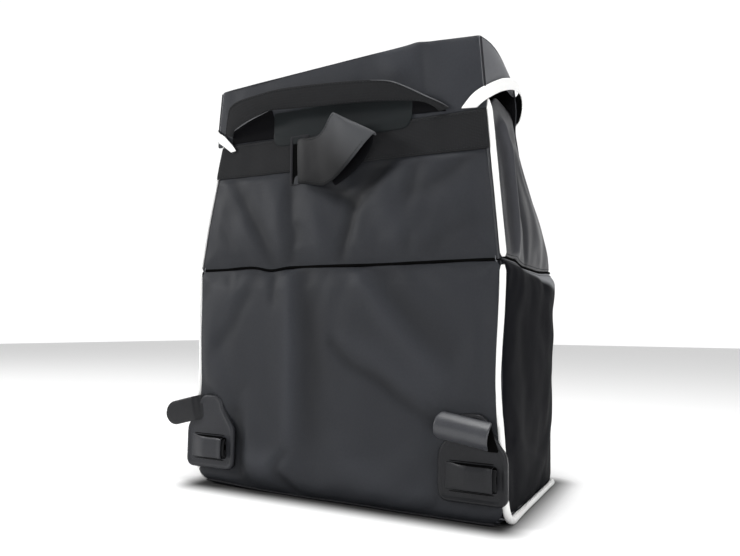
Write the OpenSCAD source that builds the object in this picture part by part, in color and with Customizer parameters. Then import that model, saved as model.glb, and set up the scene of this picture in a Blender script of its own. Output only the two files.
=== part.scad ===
// Soft weekender rucksack with a flap lid, seen here closed and standing on its base.
// The rear face, which carries the grab handle and the strap anchors, looks towards -Y.
// The origin is the centre of the base on the floor, with +Z up.

/* [Overall size] */
// Width of the bag at its base
base_w = 398; // [360:1:430]
// Width at the seam that runs round the middle
seam_w = 398; // [360:1:430]
// Width at the mouth, where the lid is hinged
mouth_w = 368; // [340:1:380]
// Width along the top of the lid
lid_w = 354; // [330:1:360]
// Depth of the base from rear to front
base_d = 230; // [210:1:260]
// How far the front bulges beyond the base at the middle seam
front_bulge = 15; // [5:1:20]
// Depth of the bag at the mouth
mouth_d = 127; // [120:1:150]

/* [Heights] */
// Height of the seam round the middle
seam_z = 274; // [250:1:290]
// Height of the mouth and of the lid hinge
mouth_z = 437; // [430:1:450]
// Height of the lid's rear top edge
lid_z = 520; // [510:1:535]
// Height of the lower edge of the lid's front flap
hem_z = 400; // [385:1:412]

/* [Fabric] */
// Thickness of the padded body panels
wall = 4; // [3:0.5:5]
// Thickness of the lid panels
lid_wall = 3; // [2:0.5:3]
// Thickness of the lining
lining_t = 1; // [0.8:0.1:1.2]
// Thickness of the stiffening boards
board_t = 2.5; // [2:0.5:3]
// Radius of the white piping
piping_r = 3; // [2:0.5:3.5]

/* [Rear hardware] */
// Height of the webbing band below the mouth
band_h = 43; // [35:1:50]
// Width of the moulded anchor plates
plate_w = 75; // [65:1:80]
// Distance of the right anchor plate's middle from the bag's centre line
plate_x_right = 168; // [160:1:175]
// Distance of the left anchor plate's middle from the bag's centre line
plate_x_left = -174; // [-178:1:-165]
// How far the grab handle leans out when it is let go
handle_lean = 18; // [10:1:20]

/* [Hidden] */
gap = 0.4;
webbing_t = 2.4;
rear_y = -base_d / 2;
front_y = base_d / 2 + front_bulge;
mouth_front_y = rear_y + mouth_d;
seam_gap = 3;
slope_start = 0.12;
slope_steps = 8;
collar_rise = 59;
collar_front_rise = 30;
base_edge_r = 20;

// ---- outlines shared by several sub-parts ----

function blend(t) = t * t * (3 - 2 * t);

// Front of the upper body from the middle seam up to the mouth, as [y, z] points.
function slope_y(t) =
  front_y - (front_y - mouth_front_y) * blend(max(0, (t - slope_start) / (1 - slope_start)));
slope_pts = [
  for (i = [0 : slope_steps])
    let (t = i / slope_steps) [slope_y(t), seam_z + t * (mouth_z - seam_z)]
];

// Offsets an open [y, z] line sideways by d, to the left of its direction.
function edge_normal(a, b) = let (v = b - a) [-v[1], v[0]] / norm(v);
function point_normal(pts, i) =
  let (
    before = edge_normal(pts[max(i - 1, 0)], pts[max(i, 1)]),
    after = edge_normal(pts[min(i, len(pts) - 2)], pts[min(i + 1, len(pts) - 1)]),
    middle = before + after
  ) middle * 2 / (middle * middle);
function shifted(pts, d) = [for (i = [0 : len(pts) - 1]) pts[i] + d * point_normal(pts, i)];
function reversed(pts) = [for (i = [len(pts) - 1 : -1 : 0]) pts[i]];

// A strip of thickness t laid along a line, on its left.
function strip(pts, t) = concat(pts, reversed(shifted(pts, t)));

// Top of the lid from the rear edge to the front corner, then down the front flap to the hem.
lid_front_y = mouth_front_y + 4;
lid_crown = 9;
lid_front_drop = 8;
lid_steps = 8;
hem_y = mouth_front_y + 34;
top_pts = [
  for (i = [0 : lid_steps])
    let (s = i / lid_steps)
      [rear_y + s * (lid_front_y - 6 - rear_y), lid_z + lid_crown * sin(180 * s) - lid_front_drop * s * s]
];
flap_pts = [
  [lid_front_y - 1, lid_z - 16],
  [lid_front_y + 0.5, lid_z - 30],
  [lid_front_y + 1, mouth_z + 16],
  [lid_front_y + 6, mouth_z + 3],
  [lid_front_y + 18, mouth_z - 15],
  [hem_y, hem_z]
];

// Outside and inside of the lid, from the rear edge over the top and down to the hem.
lid_line = concat(top_pts, flap_pts);
lid_inside = shifted(lid_line, -lid_wall);
lid_last = len(lid_line) - 1;
function lid_strip(a, b) =
  concat([for (i = [a : b]) lid_line[i]], [for (i = [b : -1 : a]) lid_inside[i]]);

// Half width of the bag's outside at a height.
function half_w(z) =
  z < seam_z ? base_w / 2 + (seam_w - base_w) / 2 * z / seam_z
  : z < mouth_z ? seam_w / 2 + (mouth_w - seam_w) / 2 * (z - seam_z) / (mouth_z - seam_z)
  : mouth_w / 2 + (lid_w - mouth_w) / 2 * (z - mouth_z) / (lid_z - mouth_z);

// Extrudes a [y, z] outline along X between x0 and x1.
module along_x(x0, x1) {
  translate([x0, 0, 0]) rotate([90, 0, 90]) linear_extrude(x1 - x0) children();
}

// Extrudes an [x, z] outline along Y between y0 and y1.
module along_y(y0, y1) {
  translate([0, y1, 0]) rotate([90, 0, 0]) linear_extrude(y1 - y0) children();
}

module mirrored(side) {
  mirror([side < 0 ? 1 : 0, 0, 0]) children();
}

// Side view of the upper body, grown inwards by d.
module upper_profile(d = 0) {
  front = shifted(slope_pts, d);
  polygon(concat([[rear_y + d, seam_z]], front, [[rear_y + d, mouth_z]]));
}

// Side view of the lower body, from z0 to z1, grown inwards by d.
module lower_profile(z0, z1, d = 0) {
  polygon([
    [rear_y + d, z0],
    [base_d / 2 - d + front_bulge * z0 / seam_z, z0],
    [base_d / 2 - d + front_bulge * z1 / seam_z, z1],
    [rear_y + d, z1]
  ]);
}

// Front view of the body from z0 to z1, grown inwards by d.
module front_view(z0, z1, d = 0) {
  polygon([
    [-half_w(z0) + d, z0],
    [half_w(z0) - d, z0],
    [half_w(z1) - d, z1],
    [-half_w(z1) + d, z1]
  ]);
}

// ---- lower body ----

base_top = wall;
lower_top = seam_z - seam_gap / 2;
upper_bottom = seam_z + seam_gap / 2;

module base_panel() {
  base_round = 6;
  color("#26272b")
    linear_extrude(base_top)
      hull()
        for (x = [-1, 1], y = [-1, 1])
          translate([x * (base_w / 2 - base_round), y * (base_d / 2 - base_round)])
            circle(base_round, $fn = 32);
}

module base_board() {
  inset = wall + 6;
  color("#c9c4b6")
    translate([-base_w / 2 + inset, rear_y + inset, base_top])
      cube([base_w - 2 * inset, base_d - 2 * inset, board_t]);
}

module rear_panel_lower() {
  color("#3a3c3f")
    along_y(rear_y, rear_y + wall) front_view(base_top, lower_top, wall);
}

module front_panel_lower() {
  color("#3a3c3f")
    difference() {
      along_x(-half_w(0) + wall, half_w(0) - wall) lower_profile(base_top, lower_top);
      along_x(-half_w(0), half_w(0))
        polygon([
          [rear_y - 1, base_top - 1],
          [base_d / 2 - wall + front_bulge * (base_top - 1) / seam_z, base_top - 1],
          [base_d / 2 - wall + front_bulge * (lower_top + 1) / seam_z, lower_top + 1],
          [rear_y - 1, lower_top + 1]
        ]);
    }
}

module side_panel(side) {
  mirrored(side)
    color("#26272b")
      along_x(base_w / 2 - wall, base_w / 2) lower_profile(base_top, lower_top);
}

// ---- upper body ----

module rear_panel_upper() {
  color("#3a3c3f")
    along_y(rear_y, rear_y + wall) front_view(upper_bottom, mouth_z, wall);
}

collar_pts = [[mouth_front_y - 3, mouth_z + 12], [mouth_front_y - 4, mouth_z + collar_front_rise]];
collar_in = 8.5;

// Front of the upper body with its collar, as [y, z] points.
front_line = concat([[front_y, upper_bottom]], [for (i = [1 : slope_steps]) slope_pts[i]], collar_pts);

// Outside of the gussets as [half width, z] points; above the mouth they lean in under the lid.
gusset_pts = [
  [half_w(seam_z), seam_z],
  [half_w(mouth_z), mouth_z],
  [half_w(mouth_z) - 5, mouth_z + 12],
  [half_w(mouth_z) - collar_in, mouth_z + collar_rise + 1]
];
module between_gussets(d) {
  right = [for (p = gusset_pts) [p[0] - d, p[1]]];
  polygon(concat(right, reversed([for (p = right) [-p[0], p[1]]])));
}

module front_panel_upper() {
  color("#3a3c3f")
    intersection() {
      along_x(-seam_w / 2, seam_w / 2) polygon(strip(front_line, wall));
      along_y(-base_d, base_d) between_gussets(wall);
    }
}

module side_gusset(side) {
  top_z = mouth_z + collar_rise;
  mirrored(side)
    color("#303136")
      intersection() {
        along_x(0, seam_w)
          polygon(concat(
            [[rear_y, upper_bottom]],
            front_line,
            [[mouth_front_y - 17, top_z - 2], [rear_y + 65, top_z], [rear_y + 35, top_z - 8],
             [rear_y + 12, mouth_z + 25], [rear_y + 4, mouth_z], [rear_y, mouth_z]]
          ));
        along_y(-base_d, base_d)
          difference() {
            between_gussets(0);
            between_gussets(wall);
          }
      }
}

// A dark tape that fills the groove between the lower and upper panels, a little sunk.
module mid_seam_binding() {
  sunk = 1;
  color("#18191b")
    translate([0, 0, lower_top])
      linear_extrude(seam_gap)
        difference() {
          translate([-seam_w / 2 + sunk, rear_y + sunk])
            square([seam_w - 2 * sunk, front_y - rear_y - 2 * sunk]);
          translate([-seam_w / 2 + wall, rear_y + wall])
            square([seam_w - 2 * wall, front_y - rear_y - 2 * wall]);
        }
}

// A dark bound edge along the bottom of the rear face, between the side corners.
module base_binding() {
  color("#18191b")
    translate([-base_w / 2 + 8, rear_y - 2.2, 3])
      rotate([0, 90, 0]) cylinder(r = 2, h = base_w - 16, $fn = 32);
}

// The bound edge along the top of the collar's front panel.
module mouth_binding() {
  edge = collar_pts[1];
  reach = half_w(mouth_z) - collar_in - wall - 3;
  color("#18191b")
    translate([-reach, edge[0] - wall - 0.2, edge[1]])
      cube([2 * reach, wall + 0.4, 2]);
}

// Stiffening sheet behind the rear panels.
module rear_board() {
  color("#c9c4b6")
    along_y(rear_y + wall + 0.2, rear_y + wall + 0.2 + board_t)
      front_view(base_top + board_t + 6, mouth_z - 8, wall + 8);
}

// Open pocket of thin cloth inside the panels and boards.
module lining() {
  floor_z = base_top + board_t + 0.6;
  out = wall + 0.3;
  rear = rear_y + wall + board_t + 1;
  side_top = mouth_z - 8;
  cut_y = mouth_front_y - out - lining_t - 5;
  module pocket(t) {
    along = shifted(front_line, out + t);
    intersection() {
      along_x(-base_w / 2, base_w / 2)
        polygon(concat(
          [[rear + t, floor_z + t], [base_d / 2 - out - t, floor_z + t]],
          along,
          [[rear + t, side_top]]
        ));
      along_y(-base_d, base_d)
        union() {
          between_gussets(out + t);
          front_view(floor_z, seam_z + gap, out + t);
        }
    }
  }
  // The same pocket, open at the top.
  color("#6b6e73")
    difference() {
      pocket(0);
      pocket(lining_t);
      along_x(-base_w / 2, base_w / 2)
        polygon([
          [rear_y, side_top - 1],
          [cut_y, side_top - 1],
          [cut_y, mouth_z + collar_rise],
          [rear_y, mouth_z + collar_rise]
        ]);
    }
}

// ---- webbing and piping on the body ----

module webbing_band() {
  color("#2b2b2b")
    along_y(rear_y - webbing_t, rear_y) front_view(mouth_z - band_h, mouth_z - gap);
}

module piping_lower(side) {
  x = base_w / 2 + piping_r + 0.1;
  back = rear_y + piping_r + 0.1;
  low = piping_r + 0.1;
  mirrored(side)
    color("#f2f2ef") {
      translate([x, back, low + base_edge_r])
        cylinder(r = piping_r, h = lower_top - 4 - low - base_edge_r, $fn = 32);
      translate([x, back + base_edge_r, low])
        rotate([-90, 0, 0]) cylinder(r = piping_r, h = base_d - base_edge_r - 6, $fn = 32);
      translate([x, back + base_edge_r, low + base_edge_r])
        rotate([90, 0, 90]) rotate([0, 0, 180])
          rotate_extrude(angle = 90, $fn = 64)
            translate([base_edge_r, 0]) circle(piping_r, $fn = 32);
    }
}

module piping_upper(side) {
  rise = mouth_z - 6 - upper_bottom;
  run = half_w(upper_bottom) - half_w(mouth_z - 6);
  lean = atan(run / rise);
  mirrored(side)
    color("#f2f2ef")
      translate([half_w(upper_bottom) + piping_r / cos(lean) + 0.1, rear_y + piping_r + 0.1, upper_bottom + 1])
        rotate([0, -lean, 0]) cylinder(r = piping_r, h = (rise - 1) / cos(lean), $fn = 32);
}

// ---- ribbons: flat straps that bend and twist along a path ----

// Each station is [centre, direction across the strap]; the strap is w wide and t thick.
function unit(v) = v / norm(v);
function tangent(s, i) = unit(s[min(i + 1, len(s) - 1)][0] - s[max(i - 1, 0)][0]);
function ring(s, i, w, t) =
  let (
    c = s[i][0],
    along = tangent(s, i),
    across = unit(s[i][1] - (s[i][1] * along) * along),
    n = cross(along, across)
  ) [c + across * w / 2 + n * t / 2, c - across * w / 2 + n * t / 2,
     c - across * w / 2 - n * t / 2, c + across * w / 2 - n * t / 2];

module ribbon(s, w, t) {
  last = len(s) - 1;
  points = [for (i = [0 : last]) each ring(s, i, w, t)];
  walls = [
    for (i = [0 : last - 1], k = [0 : 3])
      let (a = 4 * i + k, b = 4 * i + (k + 1) % 4)
        each [[a, b, a + 4], [b, b + 4, a + 4]]
  ];
  ends = [[2, 1, 0], [3, 2, 0], [4 * last, 4 * last + 1, 4 * last + 2],
    [4 * last, 4 * last + 2, 4 * last + 3]];
  polyhedron(points = points, faces = concat(walls, ends));
}

// ---- hanging loop and its slotted anchor, on the band ----

anchor_y = rear_y - webbing_t;
anchor_t = 2;
loop_pivot = [-55, anchor_y - anchor_t - 1.6, 401];
loop_w = 50;

module loop_anchor() {
  color("#2f3033")
    along_y(anchor_y - anchor_t, anchor_y)
      difference() {
        translate([-75, 372]) square([37, 58]);
        translate([-62, 375]) square([14, 52]);
      }
}

// Webbing doubled into a loop: out of the anchor, up and over a crest, and back again.
module centre_loop() {
  near = loop_pivot[1];
  stations = [
    [[-52, near + 0.2, 401], [0, 0, 1]],
    [[-36, near - 1.5, 401], [-0.05, 0, 1]],
    [[-18, near - 10, 403], [-0.3, 0, 0.95]],
    [[2, near - 18, 409], [-0.6, 0.05, 0.8]],
    [[18, near - 22, 419], [-0.8, 0.15, 0.6]],
    [[29, near - 21, 429], [-0.9, 0.25, 0.42]],
    [[34, near - 15.5, 432], [-0.92, 0.3, 0.4]],
    [[36, near - 9, 424], [-0.92, 0.1, 0.45]],
    [[33, near - 5, 411], [-0.85, 0, 0.6]],
    [[24, near - 2.5, 398], [-0.72, 0, 0.7]]
  ];
  color("#303236") ribbon(stations, loop_w, webbing_t);
}

// ---- moulded anchor plates with a raised keeper ----

plate_bottom = 22;
plate_top = 114;
plate_t = 5;
keeper_z0 = 35;
keeper_z1 = 63;
keeper_proud = 9;
keeper_wall = 2.2;
keeper_left = 9;
keeper_right = 14;
shoulder_z = 74;
neck_w = 38;

module plate_outline() {
  corner = 9;
  neck_r = 14;
  difference() {
    hull() {
      for (s = [-1, 1]) {
        translate([s * (plate_w / 2 - corner), plate_bottom + corner]) circle(corner, $fn = 32);
        translate([s * (plate_w / 2 - corner), shoulder_z - corner]) circle(corner, $fn = 32);
        translate([s * (neck_w / 2 - neck_r), plate_top - neck_r]) circle(neck_r, $fn = 32);
      }
    }
    for (s = [-1, 1])
      translate([s * (neck_w / 2 + 48.5), plate_top - 2]) circle(48, $fn = 96);
  }
}

module anchor_plate(x) {
  length = plate_w - keeper_left - keeper_right;
  front = rear_y - plate_t;
  color("#1f2022")
    translate([x, 0, 0]) {
      along_y(front, rear_y) plate_outline();
      along_x(-plate_w / 2 + keeper_left, -plate_w / 2 + keeper_left + length)
        difference() {
          keeper_section(keeper_proud, keeper_z0, keeper_z1);
          keeper_section(keeper_proud - keeper_wall, keeper_z0 + keeper_wall, keeper_z1 - keeper_wall);
        }
    }
  module keeper_section(proud, z0, z1) {
    round_r = min(4, proud / 2);
    translate([front - proud, z0])
      hull() {
        translate([proud - 0.01, 0]) square([0.01, z1 - z0]);
        translate([round_r, round_r]) circle(round_r, $fn = 32);
        translate([round_r, z1 - z0 - round_r]) circle(round_r, $fn = 32);
      }
  }
}

// A folded strap end held in the keeper.
module keeper_strap(x) {
  room = 0.5;
  inside = keeper_proud - keeper_wall - 2 * room;
  z0 = keeper_z0 + keeper_wall + room;
  z1 = keeper_z1 - keeper_wall - room;
  left = x - plate_w / 2 + keeper_left - 3;
  color("#34363a")
    along_x(left, x + plate_w / 2 - keeper_right + 4)
      translate([rear_y - plate_t - room - inside, z0])
        difference() {
          strap_end(0);
          strap_end(1.4);
        }
  module strap_end(d) {
    r = inside / 2 - d;
    hull()
      for (z = [inside / 2, z1 - z0 - inside / 2])
        translate([inside / 2, z]) circle(r, $fn = 32);
  }
}

// ---- strap tongues beside the plate necks ----

tongue_w = 30;
tongue_l = 58;
tongue_t = 2.4;
tongue_z = 96;
tongue_y = rear_y - plate_t - 5;
tongue_root_right = plate_x_right + 19;
tongue_root_left = plate_x_left - neck_w / 2 - 3;

// The outline of a tongue that starts at the origin and runs towards -X.
module tongue_outline() {
  r = tongue_w / 2;
  hull() {
    translate([-tongue_l + r, 0]) circle(r, $fn = 48);
    translate([-2, -r]) square([1, tongue_w]);
  }
}

// Seen end on, the right tongue is an arc that bows out from the plate.
module tongue_right() {
  bow_r = 19;
  dip = sqrt(bow_r * bow_r - tongue_w * tongue_w / 4);
  color("#34363a")
    translate([tongue_root_right, tongue_y, tongue_z])
      rotate([0, 10, 0])
        intersection() {
          along_y(-30, 10) tongue_outline();
          along_x(-tongue_l, 0)
            translate([dip, 0])
              difference() {
                circle(bow_r, $fn = 96);
                circle(bow_r - tongue_t, $fn = 96);
              }
        }
}

module tongue_left() {
  color("#34363a")
    translate([tongue_root_left, tongue_y, tongue_z + 4])
      rotate([0, -14, 0])
        along_y(-tongue_t / 2, tongue_t / 2) tongue_outline();
}

// ---- lid ----

lid_bottom = mouth_z + gap;

module lid_rear_panel() {
  color("#3a3c3f")
    along_y(rear_y, rear_y + lid_wall)
      front_view(lid_bottom, lid_z - lid_wall, lid_wall);
}

module lid_top_panel() {
  color("#3a3c3f")
    along_x(-lid_w / 2 + lid_wall, lid_w / 2 - lid_wall)
      polygon(lid_strip(0, lid_steps));
}

module lid_front_flap() {
  flap_inset = 1;
  color("#3a3c3f")
    intersection() {
      along_x(-mouth_w / 2, mouth_w / 2) polygon(lid_strip(lid_steps, lid_last));
      along_y(-base_d, base_d)
        polygon([
          [-mouth_w / 2 - flap_inset, hem_z - 5],
          [mouth_w / 2 + flap_inset, hem_z - 5],
          [half_w(mouth_z) - lid_wall, mouth_z],
          [lid_w / 2 - lid_wall, lid_z],
          [-lid_w / 2 + lid_wall, lid_z],
          [-half_w(mouth_z) + lid_wall, mouth_z]
        ]);
    }
}

// The side of the lid: its lower edge rises from the hinge and follows the corner strap.
module lid_wing(side) {
  mirrored(side)
    color("#55585d")
      intersection() {
        along_x(0, base_w)
          polygon(concat(
            [[rear_y + lid_wall, lid_bottom + 16], [rear_y + lid_wall, lid_z - lid_wall - 1]],
            shifted([for (i = [1 : lid_steps]) top_pts[i]], -lid_wall - 0.2),
            [[lid_front_y - lid_wall - 1, lid_z - 18], [lid_front_y - lid_wall, lid_z - 28],
             [rear_y + 95, lid_z - 28], [rear_y + 53, lid_z - 38], [rear_y + 22, lid_z - 54]]
          ));
        along_y(-base_d, base_d)
          polygon([
            [half_w(mouth_z), mouth_z],
            [half_w(lid_z), lid_z],
            [half_w(lid_z), lid_z + 20],
            [half_w(lid_z) - lid_wall, lid_z + 20],
            [half_w(lid_z) - lid_wall, lid_z],
            [half_w(mouth_z) - lid_wall, mouth_z]
          ]);
      }
}

// A thin stiffening sheet under the lid's top.
module lid_board() {
  under = shifted([for (i = [1 : lid_steps - 1]) top_pts[i]], -lid_wall - 0.5);
  color("#c9c4b6")
    along_x(-lid_w / 2 + 14, lid_w / 2 - 14) polygon(strip(reversed(under), 1.5));
}

// A thin corded seam where the lid's rear panel meets its wing.
module lid_piping(side) {
  start = lid_bottom + 41;
  lean = atan((mouth_w - lid_w) / 2 / (lid_z - mouth_z));
  cord_r = 1.2;
  mirrored(side)
    color("#8a8d91")
      translate([half_w(start) + cord_r + 0.1, rear_y + 1, start])
        rotate([0, -lean, 0]) cylinder(r = cord_r, h = lid_z - start - 4, $fn = 24);
}

// The bound lower edge of the front flap, laid over its outside.
module flap_hem_binding() {
  hem_w = 12;
  hem_t = 1.4;
  line = shifted([flap_pts[4], flap_pts[5]], gap);
  reach = mouth_w / 2 - 3;
  along = unit(line[1] - line[0]);
  color("#18191b")
    along_x(-reach, reach)
      polygon([
        line[1] - hem_w * along,
        line[1],
        line[1] + hem_t * point_normal(line, 1),
        line[1] - hem_w * along + hem_t * point_normal(line, 0)
      ]);
}

// A reinforcing patch on the lid behind the grab handle.
module handle_patch() {
  color("#232527")
    along_y(rear_y - 1.6, rear_y)
      translate([-88, mouth_z + 2]) square([185, 24]);
}

// White webbing sewn into the hinge seam that climbs the wing and stands off round the front corner.
module corner_strap(side) {
  side_x = half_w(mouth_z);
  stations = [
    [[side_x - 18, rear_y - 2, mouth_z + 10], [1, 0, -0.5]],
    [[side_x - 7, rear_y - 2.6, mouth_z + 21], [0.85, 0, -0.55]],
    [[side_x + 0.5, rear_y - 1, mouth_z + 28], [0.55, 0.35, -0.75]],
    [[side_x + 2.5, rear_y + 8, mouth_z + 35], [0.1, 0.4, -0.9]],
    [[side_x + 2, rear_y + 27, mouth_z + 44], [0, 0.35, -0.95]],
    [[side_x + 2.5, rear_y + 62, mouth_z + 54], [0, 0.2, -0.98]],
    [[side_x + 6, rear_y + 105, mouth_z + 60], [0, 0.05, -1]],
    [[side_x + 9, rear_y + 138, mouth_z + 58], [0, 0, -1]],
    [[side_x + 4, rear_y + 156, mouth_z + 50], [-0.1, 0, -1]],
    [[side_x - 12, rear_y + 159, mouth_z + 40], [-0.2, 0, -1]],
    [[side_x - 28, rear_y + 146, mouth_z + 30], [-0.3, 0, -1]],
    [[side_x - 42, rear_y + 135.5, mouth_z + 24], [-0.3, 0, -1]]
  ];
  mirrored(side)
    color("#f2f2ef") ribbon(stations, 18, 2);
}

// ---- magnetic snaps that hold the flap shut ----

snap_x = 95;
snap_r = 9;
flap_a = flap_pts[4];
flap_b = flap_pts[5];
snap_tilt = atan2(flap_b[0] - flap_a[0], flap_a[1] - flap_b[1]);

// Places a disc on the inside of the flap, its axis square to the flap.
module at_snap(x, depth) {
  inward = edge_normal(flap_b, flap_a);
  place = (flap_a + flap_b) / 2 + (lid_wall + depth) * inward;
  translate([x, place[0], place[1]]) rotate([90 + snap_tilt, 0, 0]) children();
}

module snap_studs() {
  color("#a9acb0")
    for (x = [-snap_x, snap_x]) at_snap(x, 0) cylinder(r = snap_r, h = 1.2, $fn = 48);
}

module snap_sockets() {
  color("#8e9195")
    for (x = [-snap_x, snap_x]) at_snap(x, 1.6) cylinder(r = snap_r, h = 1.2, $fn = 48);
}

// ---- grab handle ----

handle_base = [0, rear_y - 5, mouth_z + 4];

// A flat webbing hoop, wider than it is high, that leans out from its sewn ends.
module carry_handle() {
  color("#2b2c2f")
    translate(handle_base)
      rotate([handle_lean, 0, 0])
        along_y(-webbing_t / 2, webbing_t / 2)
          polygon([
            [-152, 1], [-135, 46], [-11, 48], [80, 40], [138, 1],
            [104, 1], [92, 14], [16, 22], [-98, 30], [-112, 1]
          ]);
}

base_panel();
base_board();
rear_panel_lower();
rear_panel_upper();
rear_board();
front_panel_lower();
front_panel_upper();
side_panel(-1);  // side_panel_left
side_panel(1);  // side_panel_right
side_gusset(-1);  // side_gusset_left
side_gusset(1);  // side_gusset_right
mid_seam_binding();
base_binding();
mouth_binding();
lining();
webbing_band();
piping_lower(-1);  // piping_lower_left
piping_lower(1);  // piping_lower_right
piping_upper(-1);  // piping_upper_left
piping_upper(1);  // piping_upper_right
loop_anchor();
centre_loop();
anchor_plate(plate_x_left);  // anchor_plate_left
anchor_plate(plate_x_right);  // anchor_plate_right
keeper_strap(plate_x_left);  // keeper_strap_left
keeper_strap(plate_x_right);  // keeper_strap_right
tongue_left();
tongue_right();
snap_sockets();
lid_rear_panel();
lid_top_panel();
lid_front_flap();
lid_wing(-1);  // lid_wing_left
lid_wing(1);  // lid_wing_right
lid_board();
lid_piping(-1);  // lid_piping_left
lid_piping(1);  // lid_piping_right
flap_hem_binding();
handle_patch();
corner_strap(-1);  // corner_strap_left
corner_strap(1);  // corner_strap_right
snap_studs();
carry_handle();
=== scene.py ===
"""Looks for the upright weekender bag: fabric panels, webbing, piping and mouldings around the CAD frame."""

import math

import bmesh
import bpy
import numpy as np
from mathutils import Matrix, Vector


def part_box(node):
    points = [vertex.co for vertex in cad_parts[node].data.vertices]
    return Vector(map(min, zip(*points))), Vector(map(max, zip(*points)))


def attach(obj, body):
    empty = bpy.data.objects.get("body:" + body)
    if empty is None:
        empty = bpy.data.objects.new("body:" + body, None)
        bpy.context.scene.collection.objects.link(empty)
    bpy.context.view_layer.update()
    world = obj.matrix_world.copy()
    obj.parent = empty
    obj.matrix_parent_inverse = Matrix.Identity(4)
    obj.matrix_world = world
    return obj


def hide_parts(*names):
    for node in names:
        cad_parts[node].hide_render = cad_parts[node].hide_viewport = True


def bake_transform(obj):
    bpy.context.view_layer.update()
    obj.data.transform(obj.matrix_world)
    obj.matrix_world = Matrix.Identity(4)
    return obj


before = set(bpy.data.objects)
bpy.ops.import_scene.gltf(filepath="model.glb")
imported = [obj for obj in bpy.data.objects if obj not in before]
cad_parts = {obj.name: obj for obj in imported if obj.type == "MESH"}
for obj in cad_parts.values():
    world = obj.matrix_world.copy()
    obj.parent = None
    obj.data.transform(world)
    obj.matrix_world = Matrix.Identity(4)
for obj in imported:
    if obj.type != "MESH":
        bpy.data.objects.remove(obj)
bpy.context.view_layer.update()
MM = 0.001
X, Y, Z = 0, 1, 2
SIDES = (("right", 1), ("left", -1))

# ---- places taken from the frame, in metres ----

gusset_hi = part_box("side_gusset_right")[1]
seam_lo, seam_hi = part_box("mid_seam_binding")
band_lo, band_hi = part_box("webbing_band")
lid_rear_lo, lid_rear_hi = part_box("lid_rear_panel")
flap_lo, flap_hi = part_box("lid_front_flap")

REAR_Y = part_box("rear_panel_lower")[0].y
FRONT_Y = gusset_hi.y
BASE_FRONT_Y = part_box("base_panel")[1].y
SEAM_Z = (seam_lo.z + seam_hi.z) / 2
MOUTH_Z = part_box("rear_panel_upper")[1].z
COLLAR_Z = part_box("mouth_binding")[0].z
HALF_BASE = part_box("side_panel_right")[1].x
HALF_SEAM = gusset_hi.x
TAPER = (HALF_SEAM - band_hi.x) / (band_lo.z - SEAM_Z)
HALF_MOUTH = HALF_SEAM - TAPER * (MOUTH_Z - SEAM_Z)
HALF_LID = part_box("lid_top_panel")[1].x + 3 * MM
HINGE_Z = lid_rear_lo.z
LID_Z = lid_rear_hi.z + 3 * MM
MOUTH_FRONT_Y = flap_hi.y - 34 * MM
LID_FRONT_Y = MOUTH_FRONT_Y + 4 * MM
HEM_Z = flap_lo.z
PANEL_T = 3 * MM
LID_T = 2.2 * MM


# ---- small mesh helpers ----

def new_object(name, verts, faces, uvs=None, materials=(), face_material=None):
    mesh = bpy.data.meshes.new(name)
    mesh.from_pydata([tuple(v) for v in verts], [], [tuple(f) for f in faces])
    mesh.validate()
    for m in materials:
        mesh.materials.append(m)
    if face_material is not None and len(face_material) == len(mesh.polygons):
        mesh.polygons.foreach_set("material_index", np.array(face_material, np.int32))
    mesh.polygons.foreach_set("use_smooth", np.full(len(mesh.polygons), True))
    if uvs is not None:
        layer = mesh.uv_layers.new(name="cloth")
        loops = np.zeros(len(mesh.loops), np.int32)
        mesh.loops.foreach_get("vertex_index", loops)
        layer.data.foreach_set("uv", np.asarray(uvs, np.float32)[loops].ravel())
    mesh.update()
    obj = bpy.data.objects.new(name, mesh)
    bpy.context.scene.collection.objects.link(obj)
    return obj


def solid_object(name, verts, faces, uvs, cover):
    """A closed piece with its faces turned outwards."""
    obj = new_object(name, verts, faces, uvs, [cover])
    bm = bmesh.new()
    bm.from_mesh(obj.data)
    bmesh.ops.recalc_face_normals(bm, faces=bm.faces)
    bm.to_mesh(obj.data)
    bm.free()
    return obj


def place(obj, body, slot, *nodes):
    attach(obj, body)
    if nodes:
        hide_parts(*nodes)
    return obj


def apply_modifiers(obj):
    graph = bpy.context.evaluated_depsgraph_get()
    graph.update()
    baked = bpy.data.meshes.new_from_object(obj.evaluated_get(graph))
    old = obj.data
    obj.modifiers.clear()
    obj.data = baked
    bpy.data.meshes.remove(old)


def refine(obj, levels):
    if levels:
        obj.modifiers.new("refine", "SUBSURF").levels = levels
        apply_modifiers(obj)
        obj.data.polygons.foreach_set("use_smooth", np.full(len(obj.data.polygons), True))
    return obj


def unit(v):
    return v / np.maximum(np.linalg.norm(v, axis=-1, keepdims=True), 1e-12)


def xyz(x, y, z):
    """Points from coordinates, any of which may be a single number."""
    return np.stack(np.broadcast_arrays(x, y, z), axis=-1).astype(float)


def run_length(path):
    """Distance along a path at each of its points."""
    return np.concatenate([[0], np.cumsum(np.linalg.norm(np.diff(path, axis=0), axis=1))])


def quads(a, b, c, d):
    return np.stack([a, b, c, d], axis=-1).reshape(-1, 4)


def ring_faces(rings, sides, first=0):
    """Faces between successive rings of points, all with the same number of sides."""
    start = first + np.arange(rings - 1)[:, None] * sides
    k = np.arange(sides)
    m = (k + 1) % sides
    return quads(start + k, start + m, start + sides + m, start + sides + k).tolist()


def end_caps(rings, sides, first=0):
    last = first + (rings - 1) * sides
    return [tuple(first + k for k in range(sides))[::-1], tuple(last + k for k in range(sides))]


def grid_normals(grid):
    return unit(np.cross(np.gradient(grid, axis=1), np.gradient(grid, axis=0)))


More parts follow.
